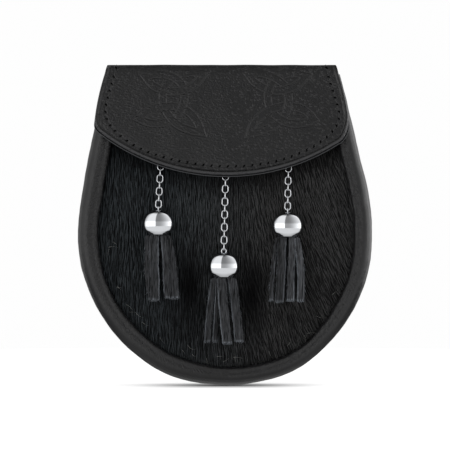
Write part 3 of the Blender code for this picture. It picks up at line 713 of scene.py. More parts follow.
def make_strays():
    chance = np.random.default_rng(5)
    line = pouch_outline(STRAY_INSET, FUR_TOP)
    left, right = chance.uniform(0.22, 0.5, STRAYS * 2 // 3), chance.uniform(0.5, 0.72, STRAYS // 3)
    nearest_edge = line[(np.concatenate([left, right]) * (len(line) - 1)).astype(int)]
    spots = (nearest_edge + chance.normal(0, 2.5 * MM, nearest_edge.shape)) * [0.96, 1] + [0, 4 * MM]
    angle = chance.uniform(-1.4, 1.4, len(spots)) + 0.6
    length = chance.uniform(*STRAY_LENGTH, len(spots))
    share = np.linspace(0, 1, 7)
    sway = chance.normal(0, 0.25, len(spots))
    turn = angle[:, None] + sway[:, None] * share * 3
    step = length[:, None, None] / 6 * hanging(turn)
    flat = spots[:, None] + np.cumsum(step, 1) - step[:, :1]
    depth = fur_depth(flat[..., 0], flat[..., 1]) + mix(*STRAY_RISE, np.sin(share * math.pi))
    paths = place(flat[..., 0], flat[..., 1], depth)
    part = strands(paths, STRAY_RADIUS * (1.2 - share), 4)
    make_piece("fur_stray_hairs", [part], stray_hair)


make_strays()

# %% [markdown]
# ## The flap
#
# The flap is cut flat, pressed with the knots while it is damp, stitched round to a thin lining and
# folded over the top. It could be made as a solid and bent with a modifier, but the maker's own order is
# simpler. Its outline is drawn flat, as (x, distance up the sheet), filled with triangles that are
# finest along the pressed lines, and then one function folds every point over.

# %% Measures of the flap
FLAP_FOLD_TOP = 205.1 * MM
FLAP_TAIL = 9 * MM
FOLD_RADIUS = 3 * MM
FLAP_TILT = math.atan(0.0568)
FLAP_REST = 0.4 * MM
FLAP_BELLY = 2.5 * MM
CREST_DEPTH = 36 * MM
LINING_THICKNESS = 1.2 * MM
FLAP_THICKNESS = 1.6 * MM
FLAP_STEP = 1.1 * MM
STEP_CHANGE = (28 * MM, 40 * MM)  # up the sheet, from the full step to none
TAIL_CORNER = 3.5 * MM
FLAP_SIDES = {  # mm: x at the fold, x and height of the corner, its radius, bulge of the edge
    "left": (-75.0, -83.9, 164.2, 6.0, 1.1),
    "right": (71.4, 81.5, 160.0, 15.0, 1.0),
}
fold_middle_height = FLAP_FOLD_TOP - (LINING_THICKNESS + GAP + FLAP_THICKNESS) - FOLD_RADIUS
FRONT = (fold_middle_height + FOLD_RADIUS * math.sin(FLAP_TILT) - FLAP_LOWEST) / math.cos(FLAP_TILT)
lining_start = roll_depth(FLAP_LOWEST, CREST_DEPTH) + FLAP_REST
fold_middle_depth = lining_start - math.sin(FLAP_TILT) * FRONT - FOLD_RADIUS * math.cos(FLAP_TILT)
BEND = FRONT + FOLD_RADIUS * (math.pi / 2 - FLAP_TILT)
TOP = BEND + fold_middle_depth - (FOLD_RADIUS - GAP)
BACK = TOP + FOLD_RADIUS * math.pi / 2
TAIL = BACK + FLAP_TAIL


# %% Folding the sheet
def on_flap(points, out):
    """World points at (x, distance up the sheet), this far outside the lining's inner face."""
    x, run = points.T
    share = np.clip(run / FRONT, 0, 1)
    belly = FLAP_BELLY * np.clip(1 - (x / HALF_WIDTH) ** 2, 0, None) * (1 - share**2)
    sine, cosine = math.sin(FLAP_TILT), math.cos(FLAP_TILT)
    first = FLAP_TILT + (run - FRONT) / FOLD_RADIUS
    second = math.pi / 2 + (run - TOP) / FOLD_RADIUS
    reach = FOLD_RADIUS + out
    rear_depth = fold_middle_depth + BEND - TOP
    runs = [run <= FRONT, run <= BEND, run <= TOP, run <= BACK]
    depth = np.select(runs, [
        lining_start - sine * run + cosine * (out + belly),
        fold_middle_depth + np.cos(first) * reach,
        fold_middle_depth + BEND - run,
        rear_depth + np.cos(second) * reach,
    ], rear_depth - reach)
    height = np.select(runs, [
        FLAP_LOWEST + cosine * run + sine * (out + belly),
        fold_middle_height + np.sin(first) * reach,
        fold_middle_height + reach,
        fold_middle_height + np.sin(second) * reach,
    ], fold_middle_height + BACK - run)
    return place(x, height, depth)


# %% The flap's outline as it is cut
def flap_outline():
    """(x, distance up the sheet) points round the lining as it is cut, from the tail's left end."""
    arc_middle = np.array([FLAP_ARC_X, FLAP_ARC_RADIUS])
    edges = {}
    for side, (fold_x, corner_x, corner_height, radius, bulge) in FLAP_SIDES.items():
        way = 1 if side == "left" else -1
        fold = np.array([fold_x * MM, BEND])
        corner = np.array([corner_x * MM, corner_height * MM - FLAP_LOWEST])
        toward = unit(corner - arc_middle)
        leaving = leftward(toward) * way
        arriving = unit(fold - corner)
        half = math.acos(arriving @ leaving) / 2
        middle = corner + unit(arriving + leaving) * (radius * MM / math.sin(half))
        reach = radius * MM / math.tan(half)
        start, end = corner + arriving * reach - middle, corner + leaving * reach - middle
        arc = middle + unit(mix(start, end, np.linspace(0, 1, 12)[:, None])) * radius * MM
        share = np.linspace(0, 1, 60)[:, None]
        aside = leftward(unit(arc[0] - fold)) * -way * bulge * MM
        line = mix(fold, arc[0], share) + aside * (4 * share * (1 - share))
        turn = np.linspace(0, math.pi / 2, 10)[:, None]
        tail = np.hstack([fold_x * MM + way * TAIL_CORNER * (1 - np.sin(turn)),
                          TAIL - TAIL_CORNER * (1 - np.cos(turn))])
        edges[side] = np.vstack([tail, line[:-1], arc])
    ends = [edges[side][-1] - arc_middle for side in ("left", "right")]
    angle = np.linspace(*[math.atan2(x, -y) for x, y in ends], 300)[1:-1]
    bottom = arc_middle + hanging(angle) * FLAP_ARC_RADIUS
    return np.vstack([edges["left"], bottom, edges["right"][::-1]])


# %% The flap's edge as it is sewn
def nearest(targets, points):
    """Distance from each point to the nearest target."""
    finder = kdtree.KDTree(len(targets))
    for number, target in enumerate(targets):
        finder.insert((target[0], target[1], 0), number)
    finder.balance()
    return np.array([finder.find((x, y, 0))[2] for x, y in points])


def evenly(line, step):
    """A closed line of points with one about every step."""
    return resampled(np.vstack([line, line[:1]]), step)[:-1]


def eased(line, times):
    """A closed line of points with its kinks averaged out."""
    for _ in range(times):
        line = (np.roll(line, 1, 0) + 2 * line + np.roll(line, -1, 0)) / 4
    return line


lining_outline = flap_outline()
lining_points = eased(evenly(lining_outline, 0.55 * MM), 12)
at_bottom = 1 - smoothstep(*STEP_CHANGE, lining_points[:, 1])
flap_outline_points = evenly(moved_left(lining_points, mix(0.1 * MM, FLAP_STEP, at_bottom)), 0.55 * MM)
print("the flap is cut", np.round((flap_outline_points.max(0) - flap_outline_points.min(0)) / MM, 1), "mm")

# %% [markdown]
# ## The pressed knots
#
# Each knot is one endless band that passes over and under itself, an old ornament with four pointed
# petals. A press leaves its two edges as grooves. Drawing them as a texture would look flat from the
# side, so they are real grooves in the mesh. Each strand of a knot is a smooth line through a few
# measured points. Its two edges are the same line moved to either side, cut off where another strand
# passes over, and mitred where two strands meet in a petal's tip. Strands pass over at their first
# crossing, under at the next, and so on.


# %% A smooth line through a few points
def through(points, step):
    """A smooth line through a few points (a Catmull-Rom spline), with a point about every step."""
    points = np.asarray(points, float)
    padded = np.vstack([2 * points[0] - points[1], points, 2 * points[-1] - points[-2]])
    t = np.linspace(0, 1, 24, endpoint=False)[:, None]
    pieces = []
    for before, start, end, after in zip(padded, padded[1:], padded[2:], padded[3:]):
        bend = 2 * before - 5 * start + 4 * end - after
        twist = 3 * start - before - 3 * end + after
        pieces.append(0.5 * (2 * start + (end - before) * t + bend * t**2 + twist * t**3))
    return resampled(np.vstack(pieces + [points[-1:]]), step)


# %% Measured points of the knots
HALF_BAND = 2.3 * MM
LINE_STEP = 0.15 * MM
MITRE_REACH = 9 * MM
CROSSING_REACH = 7 * MM
OVERSHOOT = 8 * MM
TIP_SHARE, SAME_CROSSING, END_SPAN = 0.7, 20, 6  # a share of the mitre's reach, and counts of points
KNOTS = {  # x and height in mm, strand after strand round the band
    "left": (
        ((-50.4, 197.0), (-43.8, 198.6), (-34.2, 197.4), (-27.0, 191.4), (-26.1, 181.9), (-30.1, 173.2),
         (-38.0, 167.8), (-47.6, 167.5), (-54.5, 170.4)),
        ((-54.5, 170.4), (-50.0, 174.6), (-43.5, 177.3), (-35.9, 178.1), (-28.3, 177.3), (-21.8, 173.5),
         (-17.3, 167.6), (-15.2, 161.8)),
        ((-15.2, 161.8), (-21.9, 162.9), (-29.3, 166.1), (-35.4, 171.8), (-39.2, 179.2), (-39.4, 187.5),
         (-35.2, 194.6), (-27.9, 198.5), (-19.6, 199.8), (-13.5, 199.2)),
        ((-13.5, 199.2), (-18.9, 192.7), (-27.3, 188.2), (-36.9, 187.8), (-45.7, 191.4), (-50.4, 197.0)),
    ),
    "right": (
        ((15.6, 197.9), (22.2, 199.4), (31.1, 196.7), (38.3, 190.9), (40.6, 182.0), (38.2, 173.0),
         (31.7, 166.3), (23.5, 162.4), (16.2, 160.9)),
        ((16.2, 160.9), (17.9, 166.1), (22.0, 171.3), (27.6, 175.2), (34.1, 177.6), (40.9, 178.3),
         (47.6, 177.0), (53.0, 174.0), (56.4, 169.9)),
        ((56.4, 169.9), (50.2, 167.4), (42.1, 167.1), (34.4, 170.5), (28.9, 176.8), (27.4, 185.0),
         (30.4, 192.9), (36.9, 197.9), (45.3, 199.2), (51.6, 197.7)),
        ((51.6, 197.7), (46.1, 191.8), (37.7, 188.5), (28.4, 188.5), (19.4, 193.2), (15.6, 197.9)),
    ),
}  # fmt: skip


# %% Where the bands cross
def crossings(strand, others):
    """(place along the strand, point, the other strand) of each crossing, in order along the strand."""
    found = []
    ends = distances_along(strand)
    clear = (ends > MITRE_REACH * TIP_SHARE) & (ends < ends[-1] - MITRE_REACH * TIP_SHARE)
    for other in others:
        apart = np.linalg.norm(strand[:, None] - other[None], axis=2).min(1)
        for k in np.flatnonzero((apart < LINE_STEP) & clear):
            if apart[k] == apart[max(0, k - SAME_CROSSING):k + SAME_CROSSING + 1].min():
                if not any(abs(k - spot[0]) < SAME_CROSSING for spot in found):
                    found.append((k, strand[k], other))
    return sorted(found, key=lambda spot: spot[0])


# %% The pressed lines
def pressed_lines(knot):
    """Points along both edges of every strand, where they show."""
    bands = [through(np.array(points) * MM, LINE_STEP) for points in knot]
    near_start, near_end = END_SPAN, -1 - END_SPAN
    lines = []
    for number, strand in enumerate(bands):
        under = crossings(strand, [s for s in bands if s is not strand])[1::2]
        reach = np.arange(1, round(OVERSHOOT / LINE_STEP))[:, None] * LINE_STEP
        start_way, end_way = unit(strand[0] - strand[near_start]), unit(strand[-1] - strand[near_end])
        longer = np.vstack([(strand[0] + start_way * reach)[::-1], strand, strand[-1] + end_way * reach])
        tangent = unit(np.gradient(longer, axis=0))
        aside = leftward(tangent) * HALF_BAND
        before, after = bands[number - 1], bands[(number + 1) % len(bands)]
        tips = [(strand[0], -start_way, unit(before[near_end] - before[-1])),
                (strand[-1], -end_way, unit(after[near_start] - after[0]))]
        for edge in (longer + aside, longer - aside):
            shown = np.ones(len(edge), bool)
            for tip, own_way, other_way in tips:
                middle_way = unit(own_way + other_way)
                across = leftward(middle_way)
                side = ((edge - tip) @ across) * np.sign(own_way @ across)
                shown &= (side >= 0) | (np.linalg.norm(edge - tip, axis=1) > MITRE_REACH)
            for _, spot, over in under:
                near = np.linalg.norm(edge - spot, axis=1) < CROSSING_REACH
                apart = np.linalg.norm(edge[near][:, None] - over[None], axis=2).min(1)
                shown[near] &= apart > HALF_BAND
            lines.append(edge[shown])
    return np.vstack(lines)


knot_points = np.vstack([pressed_lines(knot) for knot in KNOTS.values()])
print("the pressed lines are", round(len(knot_points) * LINE_STEP, 2), "m long")

# %% [markdown]
# ## Stitches
#
# The flap and its lining are sewn together about 6 mm in from the edge, in a shallow groove. Five
# millimetres a stitch is coarse, as saddle stitching on heavy leather is. A pricking iron marks the
# holes, which leaves each one a slit that slants across the seam. The slits are pressed into the mesh
# too.

# %% Stitch holes
STITCH_SIDE = 4.6 * MM
STITCH_BOTTOM = 5.15 * MM
STITCH_CHANGE = (20 * MM, 35 * MM)  # up the sheet, from the bottom's length to the sides'
HOLE_RADIUS = 0.8 * MM
HOLE_DEPTH = 1.1 * MM
SLIT = 0.42 * MM
SLIT_SLANT = 0.6  # radians
THREAD_RADIUS = 0.26 * MM
FRONT_RISE = 0.25 * MM
STITCHES = (  # x and height in mm, from the fold on the left, down, across and up to the fold on the right
    (-68.5, 204.5), (-71.4, 194.9), (-73.9, 186.2), (-75.2, 181.0), (-75.9, 176.6), (-75.6, 172.2),
    (-73.9, 168.0), (-71.1, 164.1), (-67.4, 160.6), (-63.4, 157.3), (-54.5, 151.8), (-44.5, 147.7),
    (-34.7, 144.7), (-24.3, 142.5), (-13.6, 141.0), (-3.3, 140.1), (7.4, 140.0), (18.2, 140.7),
    (28.8, 142.4), (39.1, 145.1), (49.0, 148.9), (57.9, 153.4), (66.0, 159.6), (69.8, 163.6),
    (72.1, 167.9), (73.0, 172.6), (72.5, 177.6), (69.5, 186.6), (67.0, 195.5), (64.3, 204.5),
)  # fmt: skip


def holes_along(line, spacing):
    """Places along a line, where spacing gives the local distance from hole to hole."""
    along = distances_along(line)
    middle = (line[1:] + line[:-1]) / 2
    count = np.concatenate([[0], np.cumsum(np.diff(along) / spacing(middle))])
    stops = np.arange(0, int(count[-1]) + 1) * (count[-1] / int(count[-1]))
    return np.interp(stops, count, along)


front_stitches = np.array(STITCHES) * MM - [0, FLAP_LOWEST + FRONT_RISE]
tail_end = TAIL - 4 * MM
ends = [np.array([[front_stitches[k, 0], tail_end]]) for k in (0, -1)]
stitch_line = softened(np.vstack([ends[0], through(front_stitches, 0.2 * MM), ends[1]]), 0.2 * MM, 3 * MM)
hole_stops = holes_along(stitch_line, lambda p: mix(STITCH_BOTTOM, STITCH_SIDE,
                                                    smoothstep(*STITCH_CHANGE, p[:, 1])))
holes, ahead, behind = (points_at(stitch_line, hole_stops + past * MM) for past in (0, 0.5, -0.5))
seam_way = unit(ahead - behind)
slit_way = seam_way * math.cos(SLIT_SLANT) + leftward(seam_way) * math.sin(SLIT_SLANT)
slits = np.vstack([holes - slit_way * SLIT, holes, holes + slit_way * SLIT])
print(len(holes), "stitch holes round the flap")

# %% [markdown]
# ## Leather of the flap
#
# The flap is the same calf with a boarded grain: the skin was rolled while damp, which raises small
# pebbles about a millimetre apart. Between them are the pits that the hair left, round on the right and
# drawn out sideways on the left, where the skin was stretched more. All of it is too shallow and too
# plentiful for a mesh, so it is three bumps. The pressed lines and the seam's groove are a little darker,
# and the holes are painted far darker, as painted shade in them. The cut edge along the bottom is painted
# paler: partly undyed leather, partly a painted highlight where it faces down to the bright table.

# %% Boarded calf, pressed
PEBBLE = 1.1 * MM
GRAIN = 0.9 * MM
PIT_SIZE = 0.42
PITS = {"left": (1.7 * MM, 0.45), "right": (2.0 * MM, 0.9)}  # from pit to pit, and how round they are
flap_leather, tree, shader = new_material("boarded calf, pressed, black satin", Roughness=0.28,
                                          Specular_IOR_Level=0.38)
where = add_node(tree, "TexCoord", {}, "Object")
to_the_right = add_node(tree, "MapRange", {"Value": add_node(tree, "SeparateXYZ", {0: where}, "X"),
                                           "From Min": -20 * MM, "From Max": 15 * MM})
pits = {}
for side, (spacing, roundness) in PITS.items():
    scaled = add_node(tree, "Mapping", {"Vector": where,
                                        "Scale": (roundness / spacing, 1 / spacing, 1 / spacing)})
    cells = add_node(tree, "TexVoronoi", {"Vector": scaled, "Scale": 1.0}, feature="F1")
    pits[side] = add_node(tree, "MapRange", {"Value": cells, "From Min": PIT_SIZE, "From Max": 0.0},
                          interpolation_type="SMOOTHSTEP")
pits = add_node(tree, "Mix", {0: to_the_right, 2: pits["left"], 3: pits["right"]})
pebbles = add_node(tree, "TexVoronoi", {"Vector": where, "Scale": 1 / PEBBLE}, feature="SMOOTH_F1")
grain = add_node(tree, "TexNoise", {"Vector": where, "Scale": 1 / GRAIN, "Detail": 3.0, "Roughness": 0.6})

# %% Relief and colour of the flap's leather
normal = {}
for height, depth, turned_over in ((pebbles, 0.13, True), (pits, 0.36, False), (grain, 0.22, False)):
    bump = {"Height": height, "Distance": depth * MM, **normal}
    normal = {"Normal": add_node(tree, "Bump", bump, invert=turned_over)}
# painted shade: the pressed factor darkens the grooves a little and the holes far more; the cut factor
# paints the lower cut edge paler, partly as a painted highlight
shade = {}
for name, factor in (("pressed", 0.05), ("cut", 5.0)):  # the colour where it is fully pressed or cut
    value = add_node(tree, "Attribute", {}, "Fac", attribute_name=name)
    shade[name] = add_node(tree, "MapRange", {"Value": value, "To Min": 1.0, "To Max": factor})
shade = add_node(tree, "Math", {0: shade["pressed"], 1: shade["cut"]}, operation="MULTIPLY")
flap_colour = add_node(tree, "VectorMath", {0: linear("#101011")[:3], "Scale": shade}, operation="SCALE")
set_inputs(shader, {"Base Color": flap_colour, **normal})

# %% [markdown]
# ## The flap's mesh
#
# What is pressed in has to be in the mesh, so the triangles are a quarter of a millimetre along the
# grooves and in the holes, and nearly a millimetre elsewhere. Each point knows how far it is from the
# nearest pressed line, seam or hole, and sinks by that. The lower edge is skived, thinned to a long
# bevel from the front.

# %% Measures of the flap's relief
GROOVE_WIDTH = 0.62 * MM
GROOVE_DEPTH = 0.34 * MM
FINE = 0.25 * MM
MEDIUM = 0.45 * MM
COARSE = 0.9 * MM
FINE_REACH = (0.8 * MM, 0.9 * MM)  # how far the fine triangles reach from a pressed line and from a hole
MEDIUM_REACH = (1.3 * MM, 1.4 * MM)  # and the medium ones, from a pressed line and from the seam
SHEET_OUT = LINING_THICKNESS + GAP
BEVEL, SIDE_BEVEL = 2.0 * MM, 0.5 * MM
BEVEL_CHANGE = (30 * MM, 40 * MM)  # up the sheet, from one to the other
EDGE_CURVE = (  # share of the bevel in from the edge, share of the thickness out from the lining
    (1.0, 1.0), (0.8, 0.97), (0.6, 0.86), (0.4, 0.70), (0.2, 0.50), (0.05, 0.30), (0.0, 0.15), (0.12, 0.0),
)  # fmt: skip
SEAM_GROOVE, SEAM_DEPTH = 1.3 * MM, 0.10 * MM
SOFT, SOFT_DEPTH = 16 * MM, 0.18 * MM
# how much darker: a pressed line and the seam's groove a little, a hole far darker, as painted shade
GROOVE_DARK_AND_HOLE_SHADE = (0.3, 0.15, 1.6)  # by a pressed line, by the seam's groove and by a hole


# %% How deep it is pressed
def seen_from_front(points):
    """(x, height) of places on the flap's front, before it is pressed."""
    world = on_flap(points, SHEET_OUT + FLAP_THICKNESS)
    pattern = np.stack([world[:, 0], world[:, 2] - FLOOR], -1)
    pattern[points[:, 1] > BEND] += 1.0
    return pattern


def groove(distance, width):
    """1 in the middle of a pressed groove, 0 beyond its width."""
    return 1 - smoothstep(0.1 * width, width, distance)


def pressing(points):
    """How far each place is pressed in, from 0 to 1, by the knots, the seam's groove and the holes."""
    line = groove(nearest(knot_points, seen_from_front(points)), GROOVE_WIDTH)
    sewn = groove(nearest(stitch_line[::2], points), SEAM_GROOVE)
    hole = groove(nearest(slits, points), HOLE_RADIUS)
    return line, sewn, hole


def flap_relief(points):
    line, sewn, hole = pressing(points)
    soft = uneven(points, SOFT, 5) * SOFT_DEPTH
    fade = smoothstep(0, 6 * MM, nearest(flap_outline_points[::4], points))
    return soft * fade - GROOVE_DEPTH * line - SEAM_DEPTH * sewn - HOLE_DEPTH * hole


# %% The flap
def make_flap():
    edge = moved_left(flap_outline_points, BEVEL + 0.4 * MM)
    levels = []
    for spacing in (FINE, MEDIUM, COARSE):
        spots = lattice(edge, spacing)
        to_line = nearest(knot_points[::3], seen_from_front(spots))
        to_hole, to_seam = nearest(slits, spots), nearest(stitch_line[::3], spots)
        finest = (to_line < FINE_REACH[0]) | (to_hole < FINE_REACH[1])
        finer = (to_line < MEDIUM_REACH[0]) | (to_seam < MEDIUM_REACH[1])
        levels.append(spots[{FINE: finest, MEDIUM: finer & ~finest, COARSE: ~finer & ~finest}[spacing]])
    spots = np.vstack(levels)
    low = 1 - smoothstep(*BEVEL_CHANGE, flap_outline_points[:, 1])
    skive = mix(SIDE_BEVEL, BEVEL, low)
    rim = [(skive * share, FLAP_THICKNESS * out) for share, out in EDGE_CURVE]
    back = lattice(moved_left(flap_outline_points, 1.0 * MM), 4 * MM)

    def mapped(points, out):
        return on_flap(points, SHEET_OUT + out)

    part = sheet(flap_outline_points, rim, spots, back, mapped, flap_relief)
    front = np.vstack([moved_left(flap_outline_points, rim[0][0]), spots])
    line, sewn, hole = pressing(front)
    count = len(flap_outline_points)
    pressed, cut = np.zeros((2, len(part[0])))
    by_line, by_seam, by_hole = GROOVE_DARK_AND_HOLE_SHADE
    # darker grooves and painted shade in the holes, and the lower cut edge painted paler, partly as a
    # painted highlight
    pressed[:len(front)] = np.clip(by_line * line + by_seam * sewn + by_hole * hole, 0, 1)
    cut[len(front) + count:len(front) + 6 * count] = np.tile(low, 5)
    make_piece("flap_leather", [part], flap_leather, ["flap"],
               values={"pressed": pressed, "cut": cut})


make_flap()

# %% [markdown]
# ## The lining
#
# Inside the flap is a thin split leather, whose fibrous cut edge shows as a line beyond the flap's. It
# is one more sheet, folded by the same function, with the felted fibres of a split as a bump.

# %% The lining
FIBRE = 0.6 * MM
lining_leather, tree, shader = new_material("thin split leather, cut edge", Roughness=0.7,
                                            Specular_IOR_Level=0.3, Base_Color=linear("#3a3b3d"))
fibres = add_node(tree, "TexNoise", {"Vector": add_node(tree, "TexCoord", {}, "Object"),
                                     "Scale": 1 / FIBRE, "Detail": 3.0})
set_inputs(shader, {"Normal": add_node(tree, "Bump", {"Height": fibres, "Distance": 0.15 * MM})})
lining_edge = evenly(lining_outline, 1.0 * MM)
lining_spots = lattice(lining_edge, 4 * MM)
make_piece("flap_lining_leather",
           [sheet(lining_edge, cut_edge(LINING_THICKNESS, 0.5 * MM), lining_spots, lining_spots, on_flap)],
           lining_leather, ["flap_lining"])

# %% [markdown]
# ## Thread in the flap
#
# Linen thread is drawn through beeswax before it is sewn, which gives it a low shine. Each stitch is a
# round strand that rises from one hole and dips into the next. A hole is too narrow for soft light to
# leave it dark, so a small dark oval lies in each.

# %% Waxed thread
STITCH_SHARE = (0.06, 0.94)
THREAD_DIP, THREAD_RISE = -0.7 * MM, 0.06 * MM
THREAD_SUNK = 0.12 * MM

thread, *_ = new_material("waxed linen thread, black", Roughness=0.42, Base_Color=linear("#121213"))
awl_hole, *_ = new_material("inside of the awl holes, in shade", Roughness=1.0, Specular_IOR_Level=0.0,
                            Base_Color=linear("#040404"))


def stitched(hole_places, surface):
    """Paths of the stitches from hole to hole. surface turns a place and a height into a point."""
    share = np.linspace(0, 1, 9)
    start, end = hole_places[:-1], hole_places[1:]
    places = start[:, None] + (end - start)[:, None] * mix(*STITCH_SHARE, share)[None, :, None]
    rise = mix(THREAD_DIP, THREAD_RISE, np.sin(share * math.pi) ** 0.35)
    flat = places.reshape(-1, 2)
    return surface(flat, np.tile(rise, len(start))).reshape(len(start), len(share), 3)


# %% Holes and stitches of the flap
HOLE_ACROSS, HOLE_ALONG, HOLE_SUNK = 0.55 * MM, 0.85 * MM, 0.36 * MM
HOLE_POINTS = 14
OUTWARD = np.array([0.0, -1.0, 0.3])
turn = round_turns(HOLE_POINTS)[:, None]
ovals = (holes[:, None] + slit_way[:, None] * np.cos(turn) * HOLE_ALONG
         + leftward(slit_way)[:, None] * np.sin(turn) * HOLE_ACROSS).reshape(-1, 2)
oval_part = (on_flap(ovals, SHEET_OUT + FLAP_THICKNESS - HOLE_SUNK),
             [np.arange(len(ovals)).reshape(-1, HOLE_POINTS)])
make_piece("flap_stitch_holes", [oval_part], awl_hole)
flap_stitches = stitched(holes, lambda p, rise: on_flap(p, SHEET_OUT + FLAP_THICKNESS - THREAD_SUNK + rise))
make_piece("flap_stitches", [strands(flap_stitches, THREAD_RADIUS, 8, OUTWARD)], thread)

# %% [markdown]
# ## Belt loops
#
# Two straps on the back carry the pouch on the wearer's belt. Each is a strip that is bent over the
# belt, with a flat foot at either end, sewn down. A bent strip has one section all along, so the section
# is drawn once and repeated across the width, with its long edges rounded off.

# %% Belt loops
LOOP_X = 48 * MM
LOOP_WIDTH = 24 * MM
LOOP_FOOT = 7 * MM
LOOP_BEND = 1.6 * MM
STRAP_THICKNESS = 2.2 * MM
BELT_HEIGHT = 163 * MM
PASSAGE_DEPTH = 6.6 * MM
PASSAGE_HEIGHT = 34 * MM


def strap_section():
    """(height, distance behind the back) round the strap's section, softened at its bends."""
    half = PASSAGE_HEIGHT / 2
    bends = [(-LOOP_FOOT, GAP), (-LOOP_BEND, GAP), (0, GAP + LOOP_BEND),
             (0, PASSAGE_DEPTH - LOOP_BEND), (LOOP_BEND, PASSAGE_DEPTH)]
    inner = [(above - half, behind) for above, behind in bends]
    inner += [(half - above, behind) for above, behind in bends[::-1]]
    inner = softened(inner, 0.25 * MM, 1.2 * MM)
    return inner, inner + leftward(unit(np.gradient(inner, axis=0))) * STRAP_THICKNESS


def make_loop(side, x):
    inner, outer = strap_section()
    rounding = 0.6 * MM
    rows = []
    for across, shrink in ((0, rounding), (0.18 * MM, 0.18 * MM), (rounding, 0)):
        rows.append((x - LOOP_WIDTH / 2 + across, shrink))
    rows += [(x + LOOP_WIDTH * share, 0) for share in np.linspace(-0.4, 0.4, 9)]
    rows += [(2 * x - at, shrink) for at, shrink in rows[2::-1]]
    rings = []
    for at, shrink in rows:
        way = unit(outer - inner)
        ring = np.vstack([inner + way * shrink, (outer - way * shrink)[::-1]])
        rings.append(place(at, ring[:, 0] + BELT_HEIGHT, -ring[:, 1]))
    points = np.stack(rings)
    around = points.shape[1]
    faces = [grid_faces(len(rows), around, loop_columns=True)]
    ends = np.arange(around // 2 - 1)
    for row in (0, len(rows) - 1):
        start = row * around
        faces.append(np.stack([start + ends, start + ends + 1, start + around - 2 - ends,
                               start + around - 1 - ends], -1))
    part = (points.reshape(-1, 3), faces)
    piece = make_piece("belt_loop_leather_" + side, [part], calf, ["belt_loop_" + side],
                       sharp=60)
    flat_coordinates(piece)


make_loop("left", -LOOP_X)
make_loop("right", LOOP_X)

# %% [markdown]
# ## Stitches on the back
#
# The wall is sewn to the back all round, 5 mm in, and each foot of a loop has one row. They are the same
# stitches as the flap's, laid on a flat surface behind the leather.

# %% Stitches on the back
BACK_SEAM = 5 * MM
BACK_STITCH = 5 * MM
FOOT_STITCH = 3.8 * MM
FOOT_SEAM = 3.2 * MM


def behind_back(out):
    """A surface this far behind the back, for stitches to lie on."""
    return lambda points, rise: place(points[:, 0], points[:, 1], THREAD_SUNK - out - rise)


def make_back_stitches():
    under_flap = fold_middle_height - FLAP_TAIL - 4 * MM
    paths = [stitched(resampled(pouch_outline(BACK_SEAM, under_flap), BACK_STITCH), behind_back(0.0))]
    _, outer = strap_section()
    for x in (-LOOP_X, LOOP_X):
        for end, way in ((outer[0], 1), (outer[-1], -1)):
            reach = LOOP_WIDTH / 2 - 2.5 * MM
            row = np.array([[x - reach, end[0]], [x + reach, end[0]]]) + [0, BELT_HEIGHT + way * FOOT_SEAM]
            paths.append(stitched(resampled(row, FOOT_STITCH), behind_back(end[1])))
    paths = np.concatenate(paths)
    make_piece("back_stitches", [strands(paths, THREAD_RADIUS, 8)], thread)
    print(len(paths), "stitches on the back")


make_back_stitches()

# %% [markdown]
# ## Chrome
#
# Caps and chains are brass with a bright chrome plating: it reflects a little over half of the light,
# faintly blue, and almost without blur. A metal has no colour of its own but its reflection, so what it
# shows is the studio around it, which comes at the end. Its roughness is that of a good polish.

# %% Bright chrome plating
chrome, *_ = new_material("chrome plating, polished", Metallic=1.0, Roughness=0.05,
                          Base_Color=linear("#cfd1d4"))
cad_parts["press_stud"].data.materials[0] = chrome

# %% [markdown]
# ## Chains and caps
#
# The chain is plain cable chain: closed wire rings, each turned a quarter against the next. It could be
# one link and an array modifier along a curve, but here each link hangs from the one above on a straight
# line from the anchor to the cap. A cap is a drawn brass dome with a narrower mouth, so its profile is
# turned on an axis and then flattened a little, and it has a wall, a lip and an inside.


# %% Turned shapes and rings of wire
def turned(profile, segments, middle):
    """A shape turned on a vertical axis from (radius, height) points."""
    angle = round_turns(segments)
    profile = np.asarray(profile)
    x = profile[:, 0, None] * np.cos(angle)
    y = profile[:, 0, None] * np.sin(angle)
    z = np.broadcast_to(profile[:, 1, None], x.shape)
    points = np.stack([x, y, z], -1).reshape(-1, 3) + np.asarray(middle)
    return points, [grid_faces(len(profile), segments, loop_columns=True)]


def wire_ring(length, width, wire, steps, sides):
    """A closed ring of round wire about the origin, with its width along X and its length along Y."""
    angle = (np.arange(steps) + 0.5) * math.tau / steps
    out = np.stack([np.cos(angle), np.sin(angle), 0 * angle], -1)
    middle = out * width / 2
    middle[:, 1] += np.sign(np.sin(angle)) * (length - width) / 2
    turn = round_turns(sides)
    ring = out[:, None] * np.cos(turn)[:, None] + np.array([0, 0, 1.0]) * np.sin(turn)[:, None]
    return (middle[:, None] + ring * wire / 2).reshape(-1, 3), [grid_faces(steps, sides, True, True)]


def moved(part, spot, axes=None):
    """A part turned so that its X, Y and Z run along the axes, then moved to the spot."""
    points, faces = part
    if axes is not None:
        points = points @ np.asarray(axes)
    return points + np.asarray(spot), faces


def axes(across, along):
    """Directions for a ring: across it, along it, and through it."""
    across, along = unit(np.asarray(across, float)), unit(np.asarray(along, float))
    return np.stack([across, along, np.cross(across, along)])


